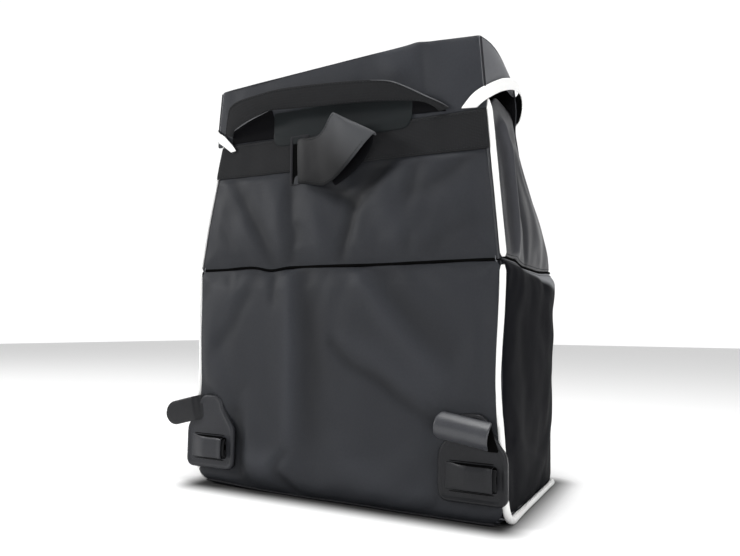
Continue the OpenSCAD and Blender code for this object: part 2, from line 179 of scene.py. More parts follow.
def grid_uv(grid):
    across = np.linalg.norm(np.diff(grid, axis=1), axis=2).mean(0)
    up = np.linalg.norm(np.diff(grid, axis=0), axis=2).mean(1)
    u = np.concatenate([[0], np.cumsum(across)])
    v = np.concatenate([[0], np.cumsum(up)])
    return np.stack(np.meshgrid(u, v), axis=2)


def smooth_step(t):
    t = np.clip(t, 0, 1)
    return t * t * (3 - 2 * t)


def bump(x, centre, width):
    return np.exp(-(((x - centre) / width) ** 2))


def catmull(points, per_span):
    """A smooth line through the points, as an array."""
    p = np.asarray(points, float)
    p = np.vstack([2 * p[0] - p[1], p, 2 * p[-1] - p[-2]])
    out = []
    for i in range(1, len(p) - 2):
        a, b, c, d = p[i - 1], p[i], p[i + 1], p[i + 2]
        for k in range(per_span):
            t = k / per_span
            out.append(0.5 * (2 * b + (c - a) * t + (2 * a - 5 * b + 4 * c - d) * t * t
                              + (3 * b - a - 3 * c + d) * t ** 3))
    out.append(p[-2])
    return np.array(out)


# ---- cloth: each panel is settled with its seams held ----

def settle(grid, hold, pressure, growth, cap, frames=14, bending=9.0):
    """Blender's cloth on one panel: hold is 1 where it is sewn down. Returns the moved grid."""
    rows, cols = grid.shape[:2]
    index = np.arange(rows * cols).reshape(rows, cols)
    faces = np.stack([index[:-1, :-1], index[:-1, 1:], index[1:, 1:], index[1:, :-1]], axis=2)
    obj = new_object("settling", grid.reshape(-1, 3), faces.reshape(-1, 4).tolist())
    group = obj.vertex_groups.new(name="sewn")
    held = hold.reshape(-1)
    for i in np.nonzero(held > 0)[0]:
        group.add([int(i)], float(held[i]), "REPLACE")
    cloth = obj.modifiers.new("cloth", "CLOTH")
    s = cloth.settings
    s.quality = 4
    s.mass = 0.25
    s.tension_stiffness = 25
    s.compression_stiffness = 25
    s.shear_stiffness = 8
    s.bending_stiffness = bending
    s.shrink_min = -growth * 0.5
    s.use_pressure = pressure > 0
    s.uniform_pressure_force = pressure
    s.effector_weights.gravity = 0.0
    s.vertex_group_mass = "sewn"
    cloth.point_cache.frame_start = 1
    cloth.point_cache.frame_end = frames
    scene = bpy.context.scene
    for f in range(1, frames + 1):
        scene.frame_set(f)
    graph = bpy.context.evaluated_depsgraph_get()
    mesh = obj.evaluated_get(graph).to_mesh()
    co = np.zeros(rows * cols * 3)
    mesh.vertices.foreach_get("co", co)
    moved = co.reshape(rows, cols, 3) - grid
    for _ in range(6):
        inner = moved[1:-1, 1:-1]
        around = moved[2:, 1:-1] + moved[:-2, 1:-1] + moved[1:-1, 2:] + moved[1:-1, :-2]
        moved[1:-1, 1:-1] = 0.5 * inner + 0.125 * around
    bpy.data.objects.remove(obj, do_unlink=True)
    scene.frame_set(1)
    size = np.linalg.norm(moved, axis=2, keepdims=True)
    return grid + moved * np.minimum(1, cap / np.maximum(size, 1e-9))


def edge_distance(grid):
    """Distance of each point from the panel's own edge, measured along the rows and columns."""
    uv = grid_uv(grid)
    u, v = uv[..., 0], uv[..., 1]
    return np.minimum.reduce([u, u.max() - u, v, v.max() - v])


def seam_hold(grid):
    return (edge_distance(grid) < 3 * MM).astype(float)


def edge_outward(grid):
    """Directions that point out of the sheet along its border, in border order."""
    across = np.gradient(grid, axis=1)
    up = np.gradient(grid, axis=0)
    return unit(np.concatenate([-up[0, :-1], across[:-1, -1], up[-1, :0:-1], -across[:0:-1, 0]]))


def thick_sheet(name, grid, thickness, outer, inner=None, levels=1, fold_shade=None):
    """A closed sheet: the grid is its outside, and its raw edges are rolled round.

    The last argument is how far each point stands out of a panel's folds; it sets painted shade that darkens
    valleys and pales ridges."""
    rows, cols = grid.shape[:2]
    count = rows * cols
    index = np.arange(count).reshape(rows, cols)
    back = index + count
    border = np.concatenate([index[0, :-1], index[:-1, -1], index[-1, :0:-1], index[:0:-1, 0]])
    after = np.roll(border, -1)
    middle = 2 * count + np.arange(len(border))
    middle_after = np.roll(middle, -1)
    outside = grid.reshape(-1, 3)
    inside = (grid - grid_normals(grid) * thickness).reshape(-1, 3)
    rolled = (outside[border] + inside[border]) / 2 + edge_outward(grid) * thickness * 0.3
    uv = grid_uv(grid).reshape(-1, 2)
    front = quads(index[:-1, :-1], index[:-1, 1:], index[1:, 1:], index[1:, :-1])
    rear = quads(back[:-1, :-1], back[1:, :-1], back[1:, 1:], back[:-1, 1:])
    rim = np.vstack([quads(border, middle, middle_after, after),
                     quads(middle, border + count, after + count, middle_after)])
    obj = new_object(name, np.vstack([outside, inside, rolled]), np.vstack([front, rear, rim]).tolist(),
                     np.vstack([uv, uv, uv[border]]), [outer, inner or outer],
                     np.repeat([0, 1, 0], [len(front), len(rear), len(rim)]))
    if fold_shade is not None:
        painted_light = np.clip(fold_shade.reshape(-1) / (4 * MM), -1.7, 1)
        values = np.concatenate([painted_light, np.zeros(count), painted_light[border]])
        obj.data.attributes.new("fold_shade", "FLOAT", "POINT").data.foreach_set("value", values.astype(np.float32))
    return refine(obj, levels)


def sheet(name, grid, thickness, cover, body, slot, *nodes, inner=None, fold_shade=None, padding=None):
    """A thick sheet on its body, in the place of its CAD nodes; padding is not used."""
    obj = place(thick_sheet(name, np.array(grid), thickness, cover, inner, fold_shade=fold_shade), body, slot, *nodes)
    return obj


def facing_rear(grid):
    """Orders the columns so that the sheet's outside looks to the rear."""
    return grid[:, ::-1] if grid_normals(grid)[..., Y].sum() > 0 else grid


def edged_ribbon(name, edges, thickness, materials, per_span=8, across_n=10, crown=0.0):
    """A strap given by its two edges, in millimetres; its first material is on its right-hand side."""
    a = catmull([e[0] for e in edges], per_span) * MM
    b = catmull([e[1] for e in edges], per_span) * MM
    t = np.linspace(0, 1, across_n + 1)
    grid = a[:, None] * (1 - t)[None, :, None] + b[:, None] * t[None, :, None]
    grid = grid + grid_normals(grid) * (crown * (1 - (2 * t - 1) ** 2))[None, :, None]
    return thick_sheet(name, grid, thickness, *materials)


def tube(name, path, radius, cover, sides=12, wobble=0.0):
    """A round cord along a path, its ends closed by shrinking them."""
    along = unit(np.gradient(path, axis=0))
    side = unit(np.cross(along, np.array([0.37, 0.21, 0.9])))
    for i in range(1, len(side)):
        side[i] = unit(side[i - 1] - along[i] * (side[i - 1] @ along[i]))
    up = np.cross(along, side)
    run = run_length(path)
    r = radius * (1 + wobble * np.sin(run / (9 * MM)) * np.sin(run / (23 * MM) + 1)) * np.ones(len(path))
    r[[0, -1]] *= 0.55
    a = np.linspace(0, 2 * math.pi, sides, endpoint=False)
    ring = side[:, None] * np.cos(a)[None, :, None] + up[:, None] * np.sin(a)[None, :, None]
    verts = (path[:, None] + ring * r[:, None, None]).reshape(-1, 3)
    uvs = np.stack(np.meshgrid(a * float(np.mean(radius)), run), axis=2).reshape(-1, 2)
    rings = len(path)
    return solid_object(name, verts, ring_faces(rings, sides) + end_caps(rings, sides), uvs, cover)


STITCH = 2.6 * MM
STITCH_GAP = 1.4 * MM
THREAD_R = 0.35 * MM


def stitch_line(name, path, normals, body, slot):
    """A row of thread stitches along a path: short rounded beads that sit on the cloth."""
    run = run_length(path)
    at = lambda s, a: np.array([np.interp(s, run, a[:, k]) for k in range(3)])
    verts, faces = [], []
    sides = 6
    rings = [(-0.5, 0.35), (-0.28, 1.0), (0.28, 1.0), (0.5, 0.35)]
    s = STITCH_GAP
    while s + STITCH < run[-1]:
        a, b = at(s, path), at(s + STITCH, path)
        n = unit(at(s + STITCH / 2, normals))
        d = unit(b - a)
        w = unit(np.cross(d, n))
        first = len(verts)
        for t, r in rings:
            c = (a + b) / 2 + d * t * STITCH + n * THREAD_R * 0.35 * (1 if abs(t) < 0.4 else -1)
            for k in range(sides):
                q = 2 * math.pi * k / sides
                verts.append(c + (w * math.cos(q) + n * math.sin(q)) * THREAD_R * r)
        faces += ring_faces(len(rings), sides, first) + end_caps(len(rings), sides, first)
        s += STITCH + STITCH_GAP
    place(solid_object(name, verts, faces, None, THREAD), body, slot)


# ---- materials ----

def material(name, colour, roughness, specular=0.5):
    m = bpy.data.materials.new(name)
    m.use_nodes = True
    shader = m.node_tree.nodes["Principled BSDF"]
    wire(m.node_tree, shader, {"Base Color": (*colour, 1), "Roughness": roughness,
                               "Specular IOR Level": specular})
    return m, m.node_tree, shader


def wire(tree, n, inputs):
    """Sets each input of a node to a value, or links it to another node's output."""
    for key, value in inputs.items():
        if hasattr(value, "node"):
            tree.links.new(value, n.inputs[key])
        else:
            n.inputs[key].default_value = value
    return n


def node(tree, kind, inputs, **settings):
    n = tree.nodes.new(kind)
    for key, value in settings.items():
        setattr(n, key, value)
    return wire(tree, n, inputs)


def place_in(tree):
    return node(tree, "ShaderNodeTexCoord", {}).outputs["Object"]


def noise(tree, coords, scale, detail=3.0):
    n = node(tree, "ShaderNodeTexNoise", {"Vector": coords, "Scale": scale, "Detail": detail})
    return n.outputs["Fac"]


def math_node(tree, operation, a, b=0.0):
    return node(tree, "ShaderNodeMath", {0: a, 1: b}, operation=operation).outputs[0]


def mapped(tree, fac, low, high):
    return node(tree, "ShaderNodeMapRange", {"Value": fac, "To Min": low, "To Max": high}).outputs["Result"]


def eased(tree, value, start, end, low=0.0, high=1.0):
    """A smooth rise from low to high while the value goes from start to end."""
    limits = {"Value": value, "From Min": start, "From Max": end, "To Min": low, "To Max": high}
    return node(tree, "ShaderNodeMapRange", limits, interpolation_type="SMOOTHSTEP").outputs["Result"]


def tint(tree, fac, dark, light):
    """A mix of two colours, each given as three numbers or as another node's output."""
    pair = [c if hasattr(c, "node") else (*c, 1) for c in (dark, light)]
    mix = node(tree, "ShaderNodeMix", {"A": pair[0], "B": pair[1], "Factor": fac}, data_type="RGBA")
    return mix.outputs["Result"]


def wave(tree, coords, scale, direction):
    n = node(tree, "ShaderNodeTexWave", {"Vector": coords, "Scale": scale, "Distortion": 0.0},
             wave_type="BANDS", bands_direction=direction, wave_profile="SIN")
    return n.outputs["Fac"]


TWILL_ANGLE = math.radians(38)


def woven(name, colour, light, pitch, roughness, weave_depth, twill=False, rib=False, mottle=0.12,
          painted_light=None, painted_light_along=(0, 0, 1), fold_shade_strength=0.0, specular=0.5):
    """Cloth woven at a real pitch in metres, from the piece's own cloth map, with uneven dye, a painted
    highlight band and painted shade in the folds.

    Its paler band, given as (height where it starts, height where it is full, colour), is a painted
    highlight."""
    m, tree, shader = material(name, colour, roughness, specular)
    uv = node(tree, "ShaderNodeUVMap", {}, uv_map="cloth").outputs["UV"]
    at = place_in(tree)
    # A wave texture's band is 2 pi / (20 scale) wide.
    scale = 2 * math.pi / (20 * pitch)
    if twill:
        turned = node(tree, "ShaderNodeMapping", {"Vector": uv, "Rotation": (0, 0, TWILL_ANGLE)})
        warp = wave(tree, turned.outputs["Vector"], scale, "X")
        weft = mapped(tree, wave(tree, uv, scale * 1.9, "Y"), 0.55, 1.0)
    elif rib:
        warp = wave(tree, uv, scale, "Y")
        weft = mapped(tree, wave(tree, uv, scale * 0.6, "X"), 0.5, 1.0)
    else:
        warp = mapped(tree, wave(tree, uv, scale, "X"), 0.3, 1.0)
        weft = mapped(tree, wave(tree, uv, scale, "Y"), 0.3, 1.0)
    threads = math_node(tree, "MULTIPLY", warp, weft)
    cloud = noise(tree, at, 14.0)
    fleck = noise(tree, at, 420.0, 2.0)
    grain = math_node(tree, "ADD", mapped(tree, threads, 0.30, 0.62), mapped(tree, fleck, -0.16, 0.16))
    dyed = tint(tree, math_node(tree, "ADD", mapped(tree, cloud, -mottle, mottle), grain), colour, light)
    if painted_light:
        along = node(tree, "ShaderNodeVectorMath", {0: at, 1: painted_light_along}, operation="DOT_PRODUCT")
        wavy = math_node(tree, "ADD", along.outputs["Value"], mapped(tree, cloud, -2.5 * MM, 2.5 * MM))
        dyed = tint(tree, eased(tree, wavy, painted_light[0], painted_light[1]), dyed, painted_light[2])
    if fold_shade_strength:
        # Painted shade: colour is darker in the valleys of the folds and paler on their ridges.
        fold = node(tree, "ShaderNodeAttribute", {}, attribute_name="fold_shade").outputs["Fac"]
        amount = math_node(tree, "ADD", math_node(tree, "MULTIPLY", fold, fold_shade_strength), 1.0)
        dyed = node(tree, "ShaderNodeVectorMath", {0: dyed, "Scale": amount}, operation="SCALE").outputs[0]
    rough = math_node(tree, "ADD", mapped(tree, cloud, roughness - 0.05, roughness + 0.05),
                      mapped(tree, threads, 0.05, -0.05))
    height = math_node(tree, "ADD", threads, mapped(tree, fleck, 0.0, 0.35))
    bumped = node(tree, "ShaderNodeBump", {"Height": height, "Strength": 0.55, "Distance": weave_depth})
    soft = node(tree, "ShaderNodeBump", {"Height": noise(tree, at, 26.0, 2.0), "Strength": 0.5,
                                         "Distance": 1.6 * MM, "Normal": bumped.outputs["Normal"]})
    wire(tree, shader, {"Base Color": dyed, "Roughness": rough, "Normal": soft.outputs["Normal"]})
    return m


def moulded(name, colour, light, roughness, grain=0.12 * MM, specular=0.5):
    """Moulded plastic with a fine leather-like grain."""
    m, tree, shader = material(name, colour, roughness, specular)
    at = place_in(tree)
    cells = node(tree, "ShaderNodeTexVoronoi", {"Vector": at, "Scale": 900.0}).outputs["Distance"]
    cloud = noise(tree, at, 60.0)
    mix = math_node(tree, "ADD", mapped(tree, cloud, 0.15, 0.45), mapped(tree, cells, -0.1, 0.25))
    bumped = node(tree, "ShaderNodeBump", {"Height": cells, "Strength": 0.35, "Distance": grain})
    wire(tree, shader, {"Base Color": tint(tree, mix, colour, light), "Normal": bumped.outputs["Normal"],
                        "Roughness": mapped(tree, cloud, roughness - 0.07, roughness + 0.09)})
    return m


def collar_lid_shadow(m, specular):
    """Painted shadow: the gusset's collar, inside the lid, is black and loses its sheen past a curve that
    falls towards the front.
    """
    tree = m.node_tree
    shader = tree.nodes["Principled BSDF"]
    at = node(tree, "ShaderNodeSeparateXYZ", {0: place_in(tree)})
    forward = math_node(tree, "MAXIMUM", math_node(tree, "ADD", at.outputs["Y"], 0.070), 0.0)
    drop = math_node(tree, "MULTIPLY", math_node(tree, "MULTIPLY", forward, forward), 3.3)
    height = math_node(tree, "ADD", at.outputs["Z"], drop)
    past = node(tree, "ShaderNodeMapRange", {"Value": height, "From Min": 0.4695, "From Max": 0.4710})
    dyed = shader.inputs["Base Color"].links[0].from_socket
    wire(tree, shader, {"Base Color": tint(tree, past.outputs["Result"], dyed, (0.003, 0.003, 0.0035)),
                        "Specular IOR Level": mapped(tree, past.outputs["Result"], specular, 0.02)})


# The fold amount given to each fabric is painted shade: it darkens fold valleys and pales their ridges.
SHELL = woven("shell_fabric", (0.0115, 0.0125, 0.0154), (0.0295, 0.0316, 0.037), 0.9 * MM, 0.56, 0.10 * MM,
              twill=True, specular=0.2, fold_shade_strength=0.38)
# The side fabric's paler band along the top of the lower side, under the seam, is a painted highlight.
SIDE = woven("side_fabric", (0.003, 0.0031, 0.004), (0.008, 0.0083, 0.0105), 0.9 * MM, 0.55, 0.08 * MM,
             twill=True, specular=0.015, fold_shade_strength=0.3, painted_light_along=(0, 0.1, 1),
             painted_light=(0.2625, 0.2710, (0.21, 0.215, 0.225)))
# The gusset's cloth is a lighter, glossier copy of the side cloth: painted light.
GUSSET = woven("gusset_fabric", (0.015, 0.0154, 0.0180), (0.037, 0.038, 0.0435), 0.9 * MM, 0.38, 0.07 * MM,
               twill=True, specular=0.34, fold_shade_strength=0.5)
collar_lid_shadow(GUSSET, 0.34)
WING = woven("wing_fabric", (0.062, 0.064, 0.071), (0.120, 0.123, 0.133), 0.8 * MM, 0.40, 0.06 * MM,
             specular=0.35)
WEB = woven("webbing_black", (0.0065, 0.0067, 0.0074), (0.019, 0.0195, 0.021), 1.6 * MM, 0.66, 0.30 * MM,
            rib=True, specular=0.12)
# The loop is dark where it lies flat and pales along a slant towards its folded top: painted light.
LOOP = woven("loop_webbing", (0.003, 0.0031, 0.0035), (0.0115, 0.0119, 0.0132), 1.2 * MM, 0.42, 0.14 * MM,
             rib=True, specular=0.10, painted_light=(0.283, 0.332, (0.058, 0.060, 0.064)),
             painted_light_along=(0.7, 0, 0.72))
BINDING = woven("binding_black", (0.010, 0.010, 0.012), (0.030, 0.030, 0.033), 1.1 * MM, 0.62, 0.2 * MM,
                rib=True, specular=0.1)
WHITE = woven("piping_white", (0.80, 0.80, 0.79), (0.90, 0.90, 0.89), 1.0 * MM, 0.62, 0.16 * MM,
              rib=True, mottle=0.05, specular=0.4)
STRAP_WHITE = woven("strap_white", (0.80, 0.80, 0.79), (0.90, 0.90, 0.89), 1.1 * MM, 0.60, 0.18 * MM,
                    rib=True, mottle=0.05, specular=0.4)
# Near-black without sheen: painted shade on the loop's return, the lid flap's inside and the patches under
# the handle's ends; also the black inside of the corner straps.
STRAP_BACK = woven("strap_back", (0.002, 0.002, 0.0025), (0.008, 0.008, 0.009), 1.1 * MM, 0.7, 0.18 * MM,
                   rib=True, specular=0.02)
LINING = woven("lining_grey", (0.10, 0.105, 0.115), (0.17, 0.175, 0.185), 0.6 * MM, 0.55, 0.05 * MM,
               specular=0.4)
PLATE = moulded("plate_black", (0.005, 0.0052, 0.006), (0.022, 0.0228, 0.026), 0.40, specular=0.22)
# A lighter copy of the plate plastic for the left plate: painted reflection.
PLATE_LIT_COPY = moulded("plate_lit_copy", (0.011, 0.0115, 0.0135), (0.042, 0.0435, 0.050), 0.42, specular=0.24)
# Lighter and glossier than the plate plastic that the left tongue uses: painted highlight on the right
# tongue.
TONGUE = moulded("tongue_black", (0.023, 0.024, 0.0275), (0.070, 0.073, 0.081), 0.34, 0.06 * MM,
                 specular=0.45)
# A pale edge along the handle: painted highlight.
RIM_HIGHLIGHT = woven("handle_edge_highlight", (0.045, 0.046, 0.05), (0.13, 0.133, 0.14), 1.2 * MM, 0.5, 0.1 * MM, specular=0.3)
PATCH = woven("patch_cloth", (0.0050, 0.0064, 0.0070), (0.0135, 0.0165, 0.018), 0.9 * MM, 0.6, 0.08 * MM,
              twill=True, specular=0.12)
# Near-black without sheen: painted shadow in the slots, hollows, keeper walls and tongue curls; also the dark
# seam tape.
DEEP = moulded("deep_black", (0.001, 0.001, 0.001), (0.004, 0.004, 0.004), 0.9, specular=0.02)
THREAD = moulded("thread_dark", (0.008, 0.0083, 0.009), (0.026, 0.027, 0.030), 0.6, 0.05 * MM, specular=0.15)
BOARD = moulded("board_sheet", (0.008, 0.008, 0.009), (0.024, 0.024, 0.026), 0.7, 0.1 * MM, specular=0.1)
METAL, metal_tree, metal_shader = material("snap_metal", (0.55, 0.56, 0.58), 0.32)
metal_grain = mapped(metal_tree, noise(metal_tree, place_in(metal_tree), 700.0), 0.25, 0.45)
wire(metal_tree, metal_shader, {"Metallic": 1.0, "Roughness": metal_grain})


# ---- the bag's outline ----

SLOPE_START = 0.12
BASE_TUCK = 18 * MM
CORNER_R = 12 * MM


def half_width(z):
    upper = HALF_SEAM - TAPER * (np.minimum(z, MOUTH_Z) - SEAM_Z)
    above = np.maximum(z - MOUTH_Z, 0)
    body = np.where(z < SEAM_Z, HALF_BASE + (HALF_SEAM - HALF_BASE) * z / SEAM_Z, upper)
    tuck = 4 * MM * np.clip(1 - z / BASE_TUCK, 0, 1) ** 2
    return body - tuck - above * 0.13


def front_y(z):
    """Front of the body: a soft bulge below the middle seam, and the long slope above it."""
    low = BASE_FRONT_Y + (FRONT_Y - BASE_FRONT_Y) * z / SEAM_Z
    low = low + 6 * MM * bump(z, 0.135, 0.045) - 7 * MM * bump(z, 0.035, 0.03)
    t = np.clip(((z - SEAM_Z) / (MOUTH_Z - SEAM_Z) - SLOPE_START) / (1 - SLOPE_START), 0, 1)
    high = FRONT_Y - (FRONT_Y - MOUTH_FRONT_Y) * smooth_step(t)
    return np.where(z < SEAM_Z, low, high - 4 * MM * smooth_step((z - MOUTH_Z) / (14 * MM)))


def columns(n):
    return np.linspace(0, 1, n)


def base_lift(x):
    """The rear bottom edge sits a little up, more so towards the left corner."""
    return 0.6 * MM + 4 * MM * smooth_step((-x - 0.075) / 0.125) + 1 * MM * smooth_step((x - 0.17) / 0.03)


def left_lean(x, z):
    """The left edge sags outwards round the middle seam and leans in towards the mouth."""
    out = np.interp(z / MM, [0, 40, 90, 200, 262, 280, 330, 395, 412, 430, 440],
                    [3, 5, 8, 8.5, 8, 7.5, 3.5, -4.5, -6.5, -9, -10])
    return -out * MM * smooth_step((-x - 0.06) / 0.13)


def rear_grid(z0, z1, cell=3.6 * MM):
    zs = np.linspace(z0, z1, max(4, round((z1 - z0) / cell) + 1))
    u = columns(round(2 * HALF_BASE / cell) + 1)
    x = (2 * u[None, :] - 1) * half_width(zs)[:, None]
    y = REAR_Y + 3 * MM * np.clip(1 - zs / BASE_TUCK, 0, 1) ** 2
    z = np.repeat(zs[:, None], len(u), 1)
    z = z + base_lift(x) * np.clip(1 - zs / 0.05, 0, 1)[:, None] ** 2
    corner = 22 * MM
    pull = np.clip(1 - zs / corner, 0, 1)[:, None]
    x = x * (1 - 0.055 * (1 - np.sqrt(np.maximum(1 - pull ** 2, 0))))
    x = x + left_lean(x, zs[:, None])
    return np.stack([x, np.repeat(y[:, None], len(u), 1), z], axis=2)


PIPE_BEND = 27 * MM


def side_grid(z0, z1, cell=4 * MM):
    """The right side from the rear edge forward, and round the front corner to the front seam."""
    zs = np.linspace(z0, z1, max(4, round((z1 - z0) / cell) + 1))
    flat = columns(round((FRONT_Y - REAR_Y) / cell) + 1)
    arc = np.linspace(0, math.pi / 2, 8)[1:]
    rows = []
    for z in zs:
        w, f = float(half_width(z)), float(front_y(z))
        drop = float(np.clip(1 - (z - 2 * MM) / (PIPE_BEND - 3 * MM), 0, 1))
        rear = REAR_Y + (PIPE_BEND - 3 * MM) * (1 - math.sqrt(max(1 - drop ** 2, 0.0)))
        y = rear + flat * (f - CORNER_R - rear)
        straight = np.stack([np.full(len(y), w), y, np.full(len(y), z)], axis=1)
        bend = np.stack([w - CORNER_R + CORNER_R * np.cos(arc), f - CORNER_R + CORNER_R * np.sin(arc),
                         np.full(len(arc), z)], axis=1)
        rows.append(np.vstack([straight, bend]))
    return np.array(rows)


def front_grid(z0, z1, cell=6 * MM):
    zs = np.linspace(z0, z1, max(4, round((z1 - z0) / cell) + 1))
    u = columns(round(2 * HALF_BASE / cell) + 1)
    x = (1 - 2 * u[None, :]) * (half_width(zs)[:, None] - CORNER_R)
    y = np.repeat(np.asarray(front_y(zs))[:, None], len(u), 1)
    return np.stack([x, y, np.repeat(zs[:, None], len(u), 1)], axis=2)


def mirror_grid(grid, lean=False):
    flipped = grid[:, ::-1].copy()
    flipped[..., 0] *= -1
    if lean:
        rear = 1 - smooth_step((flipped[..., 1] - REAR_Y) / (190 * MM))
        flipped[..., 0] += left_lean(flipped[..., 0], flipped[..., 2]) * rear
    return flipped


def push(grid, amount, reach=7 * MM):
    """Moves a panel along its own normal by amount metres, held at its edges."""
    ease = smooth_step(edge_distance(grid) / reach)
    return grid + grid_normals(grid) * (amount * ease)[..., None]


def creases(grid, a, b, lines):
    """Ridges and valleys in a panel's plane, each (points, width, height) in millimetres, that fade out."""
    total = np.zeros(grid.shape[:2])
    q = np.stack([grid[..., a], grid[..., b]], axis=-1)
    for points, width, height in lines:
        path = catmull(points, 6) * MM
        run = run_length(path)
        best = np.full(q.shape[:2], 1e9)
        along = np.zeros(q.shape[:2])
        for i in range(len(path) - 1):
            d = path[i + 1] - path[i]
            t = np.clip(((q - path[i]) @ d) / (d @ d), 0, 1)
            away = np.linalg.norm(q - (path[i] + t[..., None] * d), axis=-1)
            closer = away < best
            best = np.where(closer, away, best)
            along = np.where(closer, (run[i] + t * (run[i + 1] - run[i])) / run[-1], along)
        taper = 0.25 + 0.75 * np.sin(np.pi * np.clip(0.15 + 0.75 * along, 0, 1)) ** 0.7
        total += height * MM * taper * np.exp(-((best / (width * MM)) ** 2))
    return total


def ripples(grid, a, b, seed, amount):
    """Gentle unevenness of cloth, the same on each run."""
    rng = np.random.default_rng(seed)
    out = np.zeros(grid.shape[:2])
    for _ in range(14):
        k = rng.normal(size=2) / RIPPLE
        out += np.sin(grid[..., a] * k[0] + grid[..., b] * k[1] + rng.uniform(0, 6.28)) / 14 ** 0.5
    return out * amount


RIPPLE = 30 * MM
EDGE_GAP = 1.0 * MM

REAR_LOWER_FOLDS = [
    ([(-62, 276), (-58, 200), (-57, 60)], 13, 4.4),
    ([(-44, 268), (-30, 180), (-26, 80)], 20, -4.4),
    ([(-110, 274), (-128, 235), (-150, 196), (-178, 168)], 10, -1.8),
    ([(-128, 262), (-165, 200)], 16, 1.3),
    ([(-158, 270), (-150, 246)], 6, -1.3),
    ([(-141, 270), (-140, 240)], 6, -1.0),
    ([(-86, 268), (-83, 232)], 7, -2.1),
    ([(0, 184), (26, 160), (60, 145), (88, 125), (128, 102)], 7, -3.4),
    ([(22, 186), (75, 158), (125, 126)], 15, 2.5),
    ([(30, 268), (62, 224), (84, 200), (106, 174), (134, 148)], 13, 3.5),
    ([(66, 262), (100, 212), (140, 180)], 20, -2.9),
    ([(-140, 92), (-136, 55), (-128, 14)], 13, -5.2),
    ([(-120, 42), (-95, 34), (-72, 40)], 15, 5.2),
    ([(-62, 52), (-74, 30), (-50, 6)], 7, -3.5),
    ([(-190, 200), (-160, 130)], 16, 2.1),
    ([(10, 60), (60, 30), (110, 20)], 20, 2.1),
]
REAR_UPPER_FOLDS = [
    ([(-150, 392), (-124, 346), (-100, 306), (-88, 276)], 10, -3.2),
    ([(-142, 342), (-118, 300)], 13, 1.4),
    ([(-182, 386), (-162, 358), (-146, 344)], 9, -1.4),
    ([(-166, 324), (-150, 300)], 8, -1.2),
    ([(-66, 392), (-60, 328)], 10, -2.8),
    ([(-54, 318), (-63, 280)], 9, -2.8),
    ([(-88, 372), (-78, 300)], 14, 1.2),
    ([(-30, 342), (-18, 286)], 13, 1.7),
    ([(62, 340), (92, 296)], 16, 2.0),
    ([(108, 386), (92, 344)], 9, -1.9),
    ([(176, 392), (134, 364), (100, 352)], 9, -2.2),
    ([(96, 306), (92, 284)], 7, -2.0),
    ([(122, 290), (166, 316)], 10, -1.9),
    ([(130, 340), (168, 350)], 12, 1.3),
    ([(-26, 375), (0, 362), (24, 350)], 9, -5.0),
    ([(72, 394), (46, 368), (28, 350)], 11, -6.4),
    ([(27, 346), (20, 318), (8, 284)], 8, -4.6),
    ([(14, 370), (38, 386), (56, 398)], 15, -5.0),
]
SIDE_FOLDS = [
    ([(-84, 84), (-30, 66), (40, 40)], 7, 1.8),
    ([(60, 240), (90, 200), (125, 190)], 18, 2.2),
    ([(-60, 220), (-30, 120)], 24, -1.8),
    ([(10, 200), (60, 150)], 22, 1.6),
]
GUSSET_FOLDS = [
    ([(-60, 492), (-56, 460), (-53, 430), (-50, 391), (-49, 350), (-50, 316), (-54, 280)], 10, 6.8),
    ([(-32, 410), (-26, 372), (-18, 345), (-8, 318), (-8, 282)], 8, -3.4),
    ([(-78, 420), (-72, 350), (-70, 300)], 18, -1.6),
    ([(40, 350), (62, 300)], 20, 2.2),
]
FRONT_FOLDS = [
    ([(-90, 266), (-60, 160)], 20, -3.0),
    ([(50, 268), (20, 110)], 24, 3.0),
    ([(110, 120), (60, 30)], 18, -3.0),
]


def fullness(grid, height, plates=()):
    """A padded panel stands proud of its seams, except where a plate (x, z, half sizes) holds it down."""
    rise = height * smooth_step(edge_distance(grid) / (26 * MM))
    for x, z, half_x, half_z in plates:
        away = np.maximum(abs(grid[..., X] - x) - half_x, abs(grid[..., Z] - z) - half_z)
        rise = rise * smooth_step(away / (22 * MM))
    return rise


def seam_wave(x):
    """How far the rear's middle seam wanders up or down at x, where the cloth is gathered."""
    left = -3.2 * MM * bump(x, -0.093, 0.016) + 1.8 * MM * bump(x, -0.128, 0.022)
    return left - 0.8 * MM * bump(x, 0.06, 0.05)


def side_seam_wave(y):
    """The same on the sides: high towards the rear, low in the middle, and rising again to the front."""
    return 4.5 * MM * (1 - smooth_step((y + 0.060) / 0.040)) + 4.5 * MM * smooth_step((y - 0.045) / 0.085)


def seam_line(grid, side=False):
    near = np.exp(-((grid[..., Z] - SEAM_Z) / (22 * MM)) ** 2)
    out = grid.copy()
    if side:
        start = smooth_step((grid[..., Y] - REAR_Y) / (10 * MM))
        out[..., Z] += side_seam_wave(grid[..., Y]) * near * start
    else:
        out[..., Z] += seam_wave(grid[..., X]) * near
    return out


def collar_cut(grid):
    """Lowers the gusset's top edge towards the rear, where the lid is sewn on."""
    top = COLLAR_Z - (COLLAR_Z - MOUTH_Z) * (1 - smooth_step((grid[-1, :, Y] - REAR_Y) / (60 * MM)))
    z0 = grid[0, :, Z].mean()
    t = (grid[..., Z] - z0) / (COLLAR_Z - z0)
    out = grid.copy()
    for c in range(grid.shape[1]):
        z = z0 + t[:, c] * (top[c] - z0)
        for k in (X, Y):
            out[:, c, k] = np.interp(z, grid[:, c, Z], grid[:, c, k])
        out[:, c, Z] = z
    return out


panels = {}


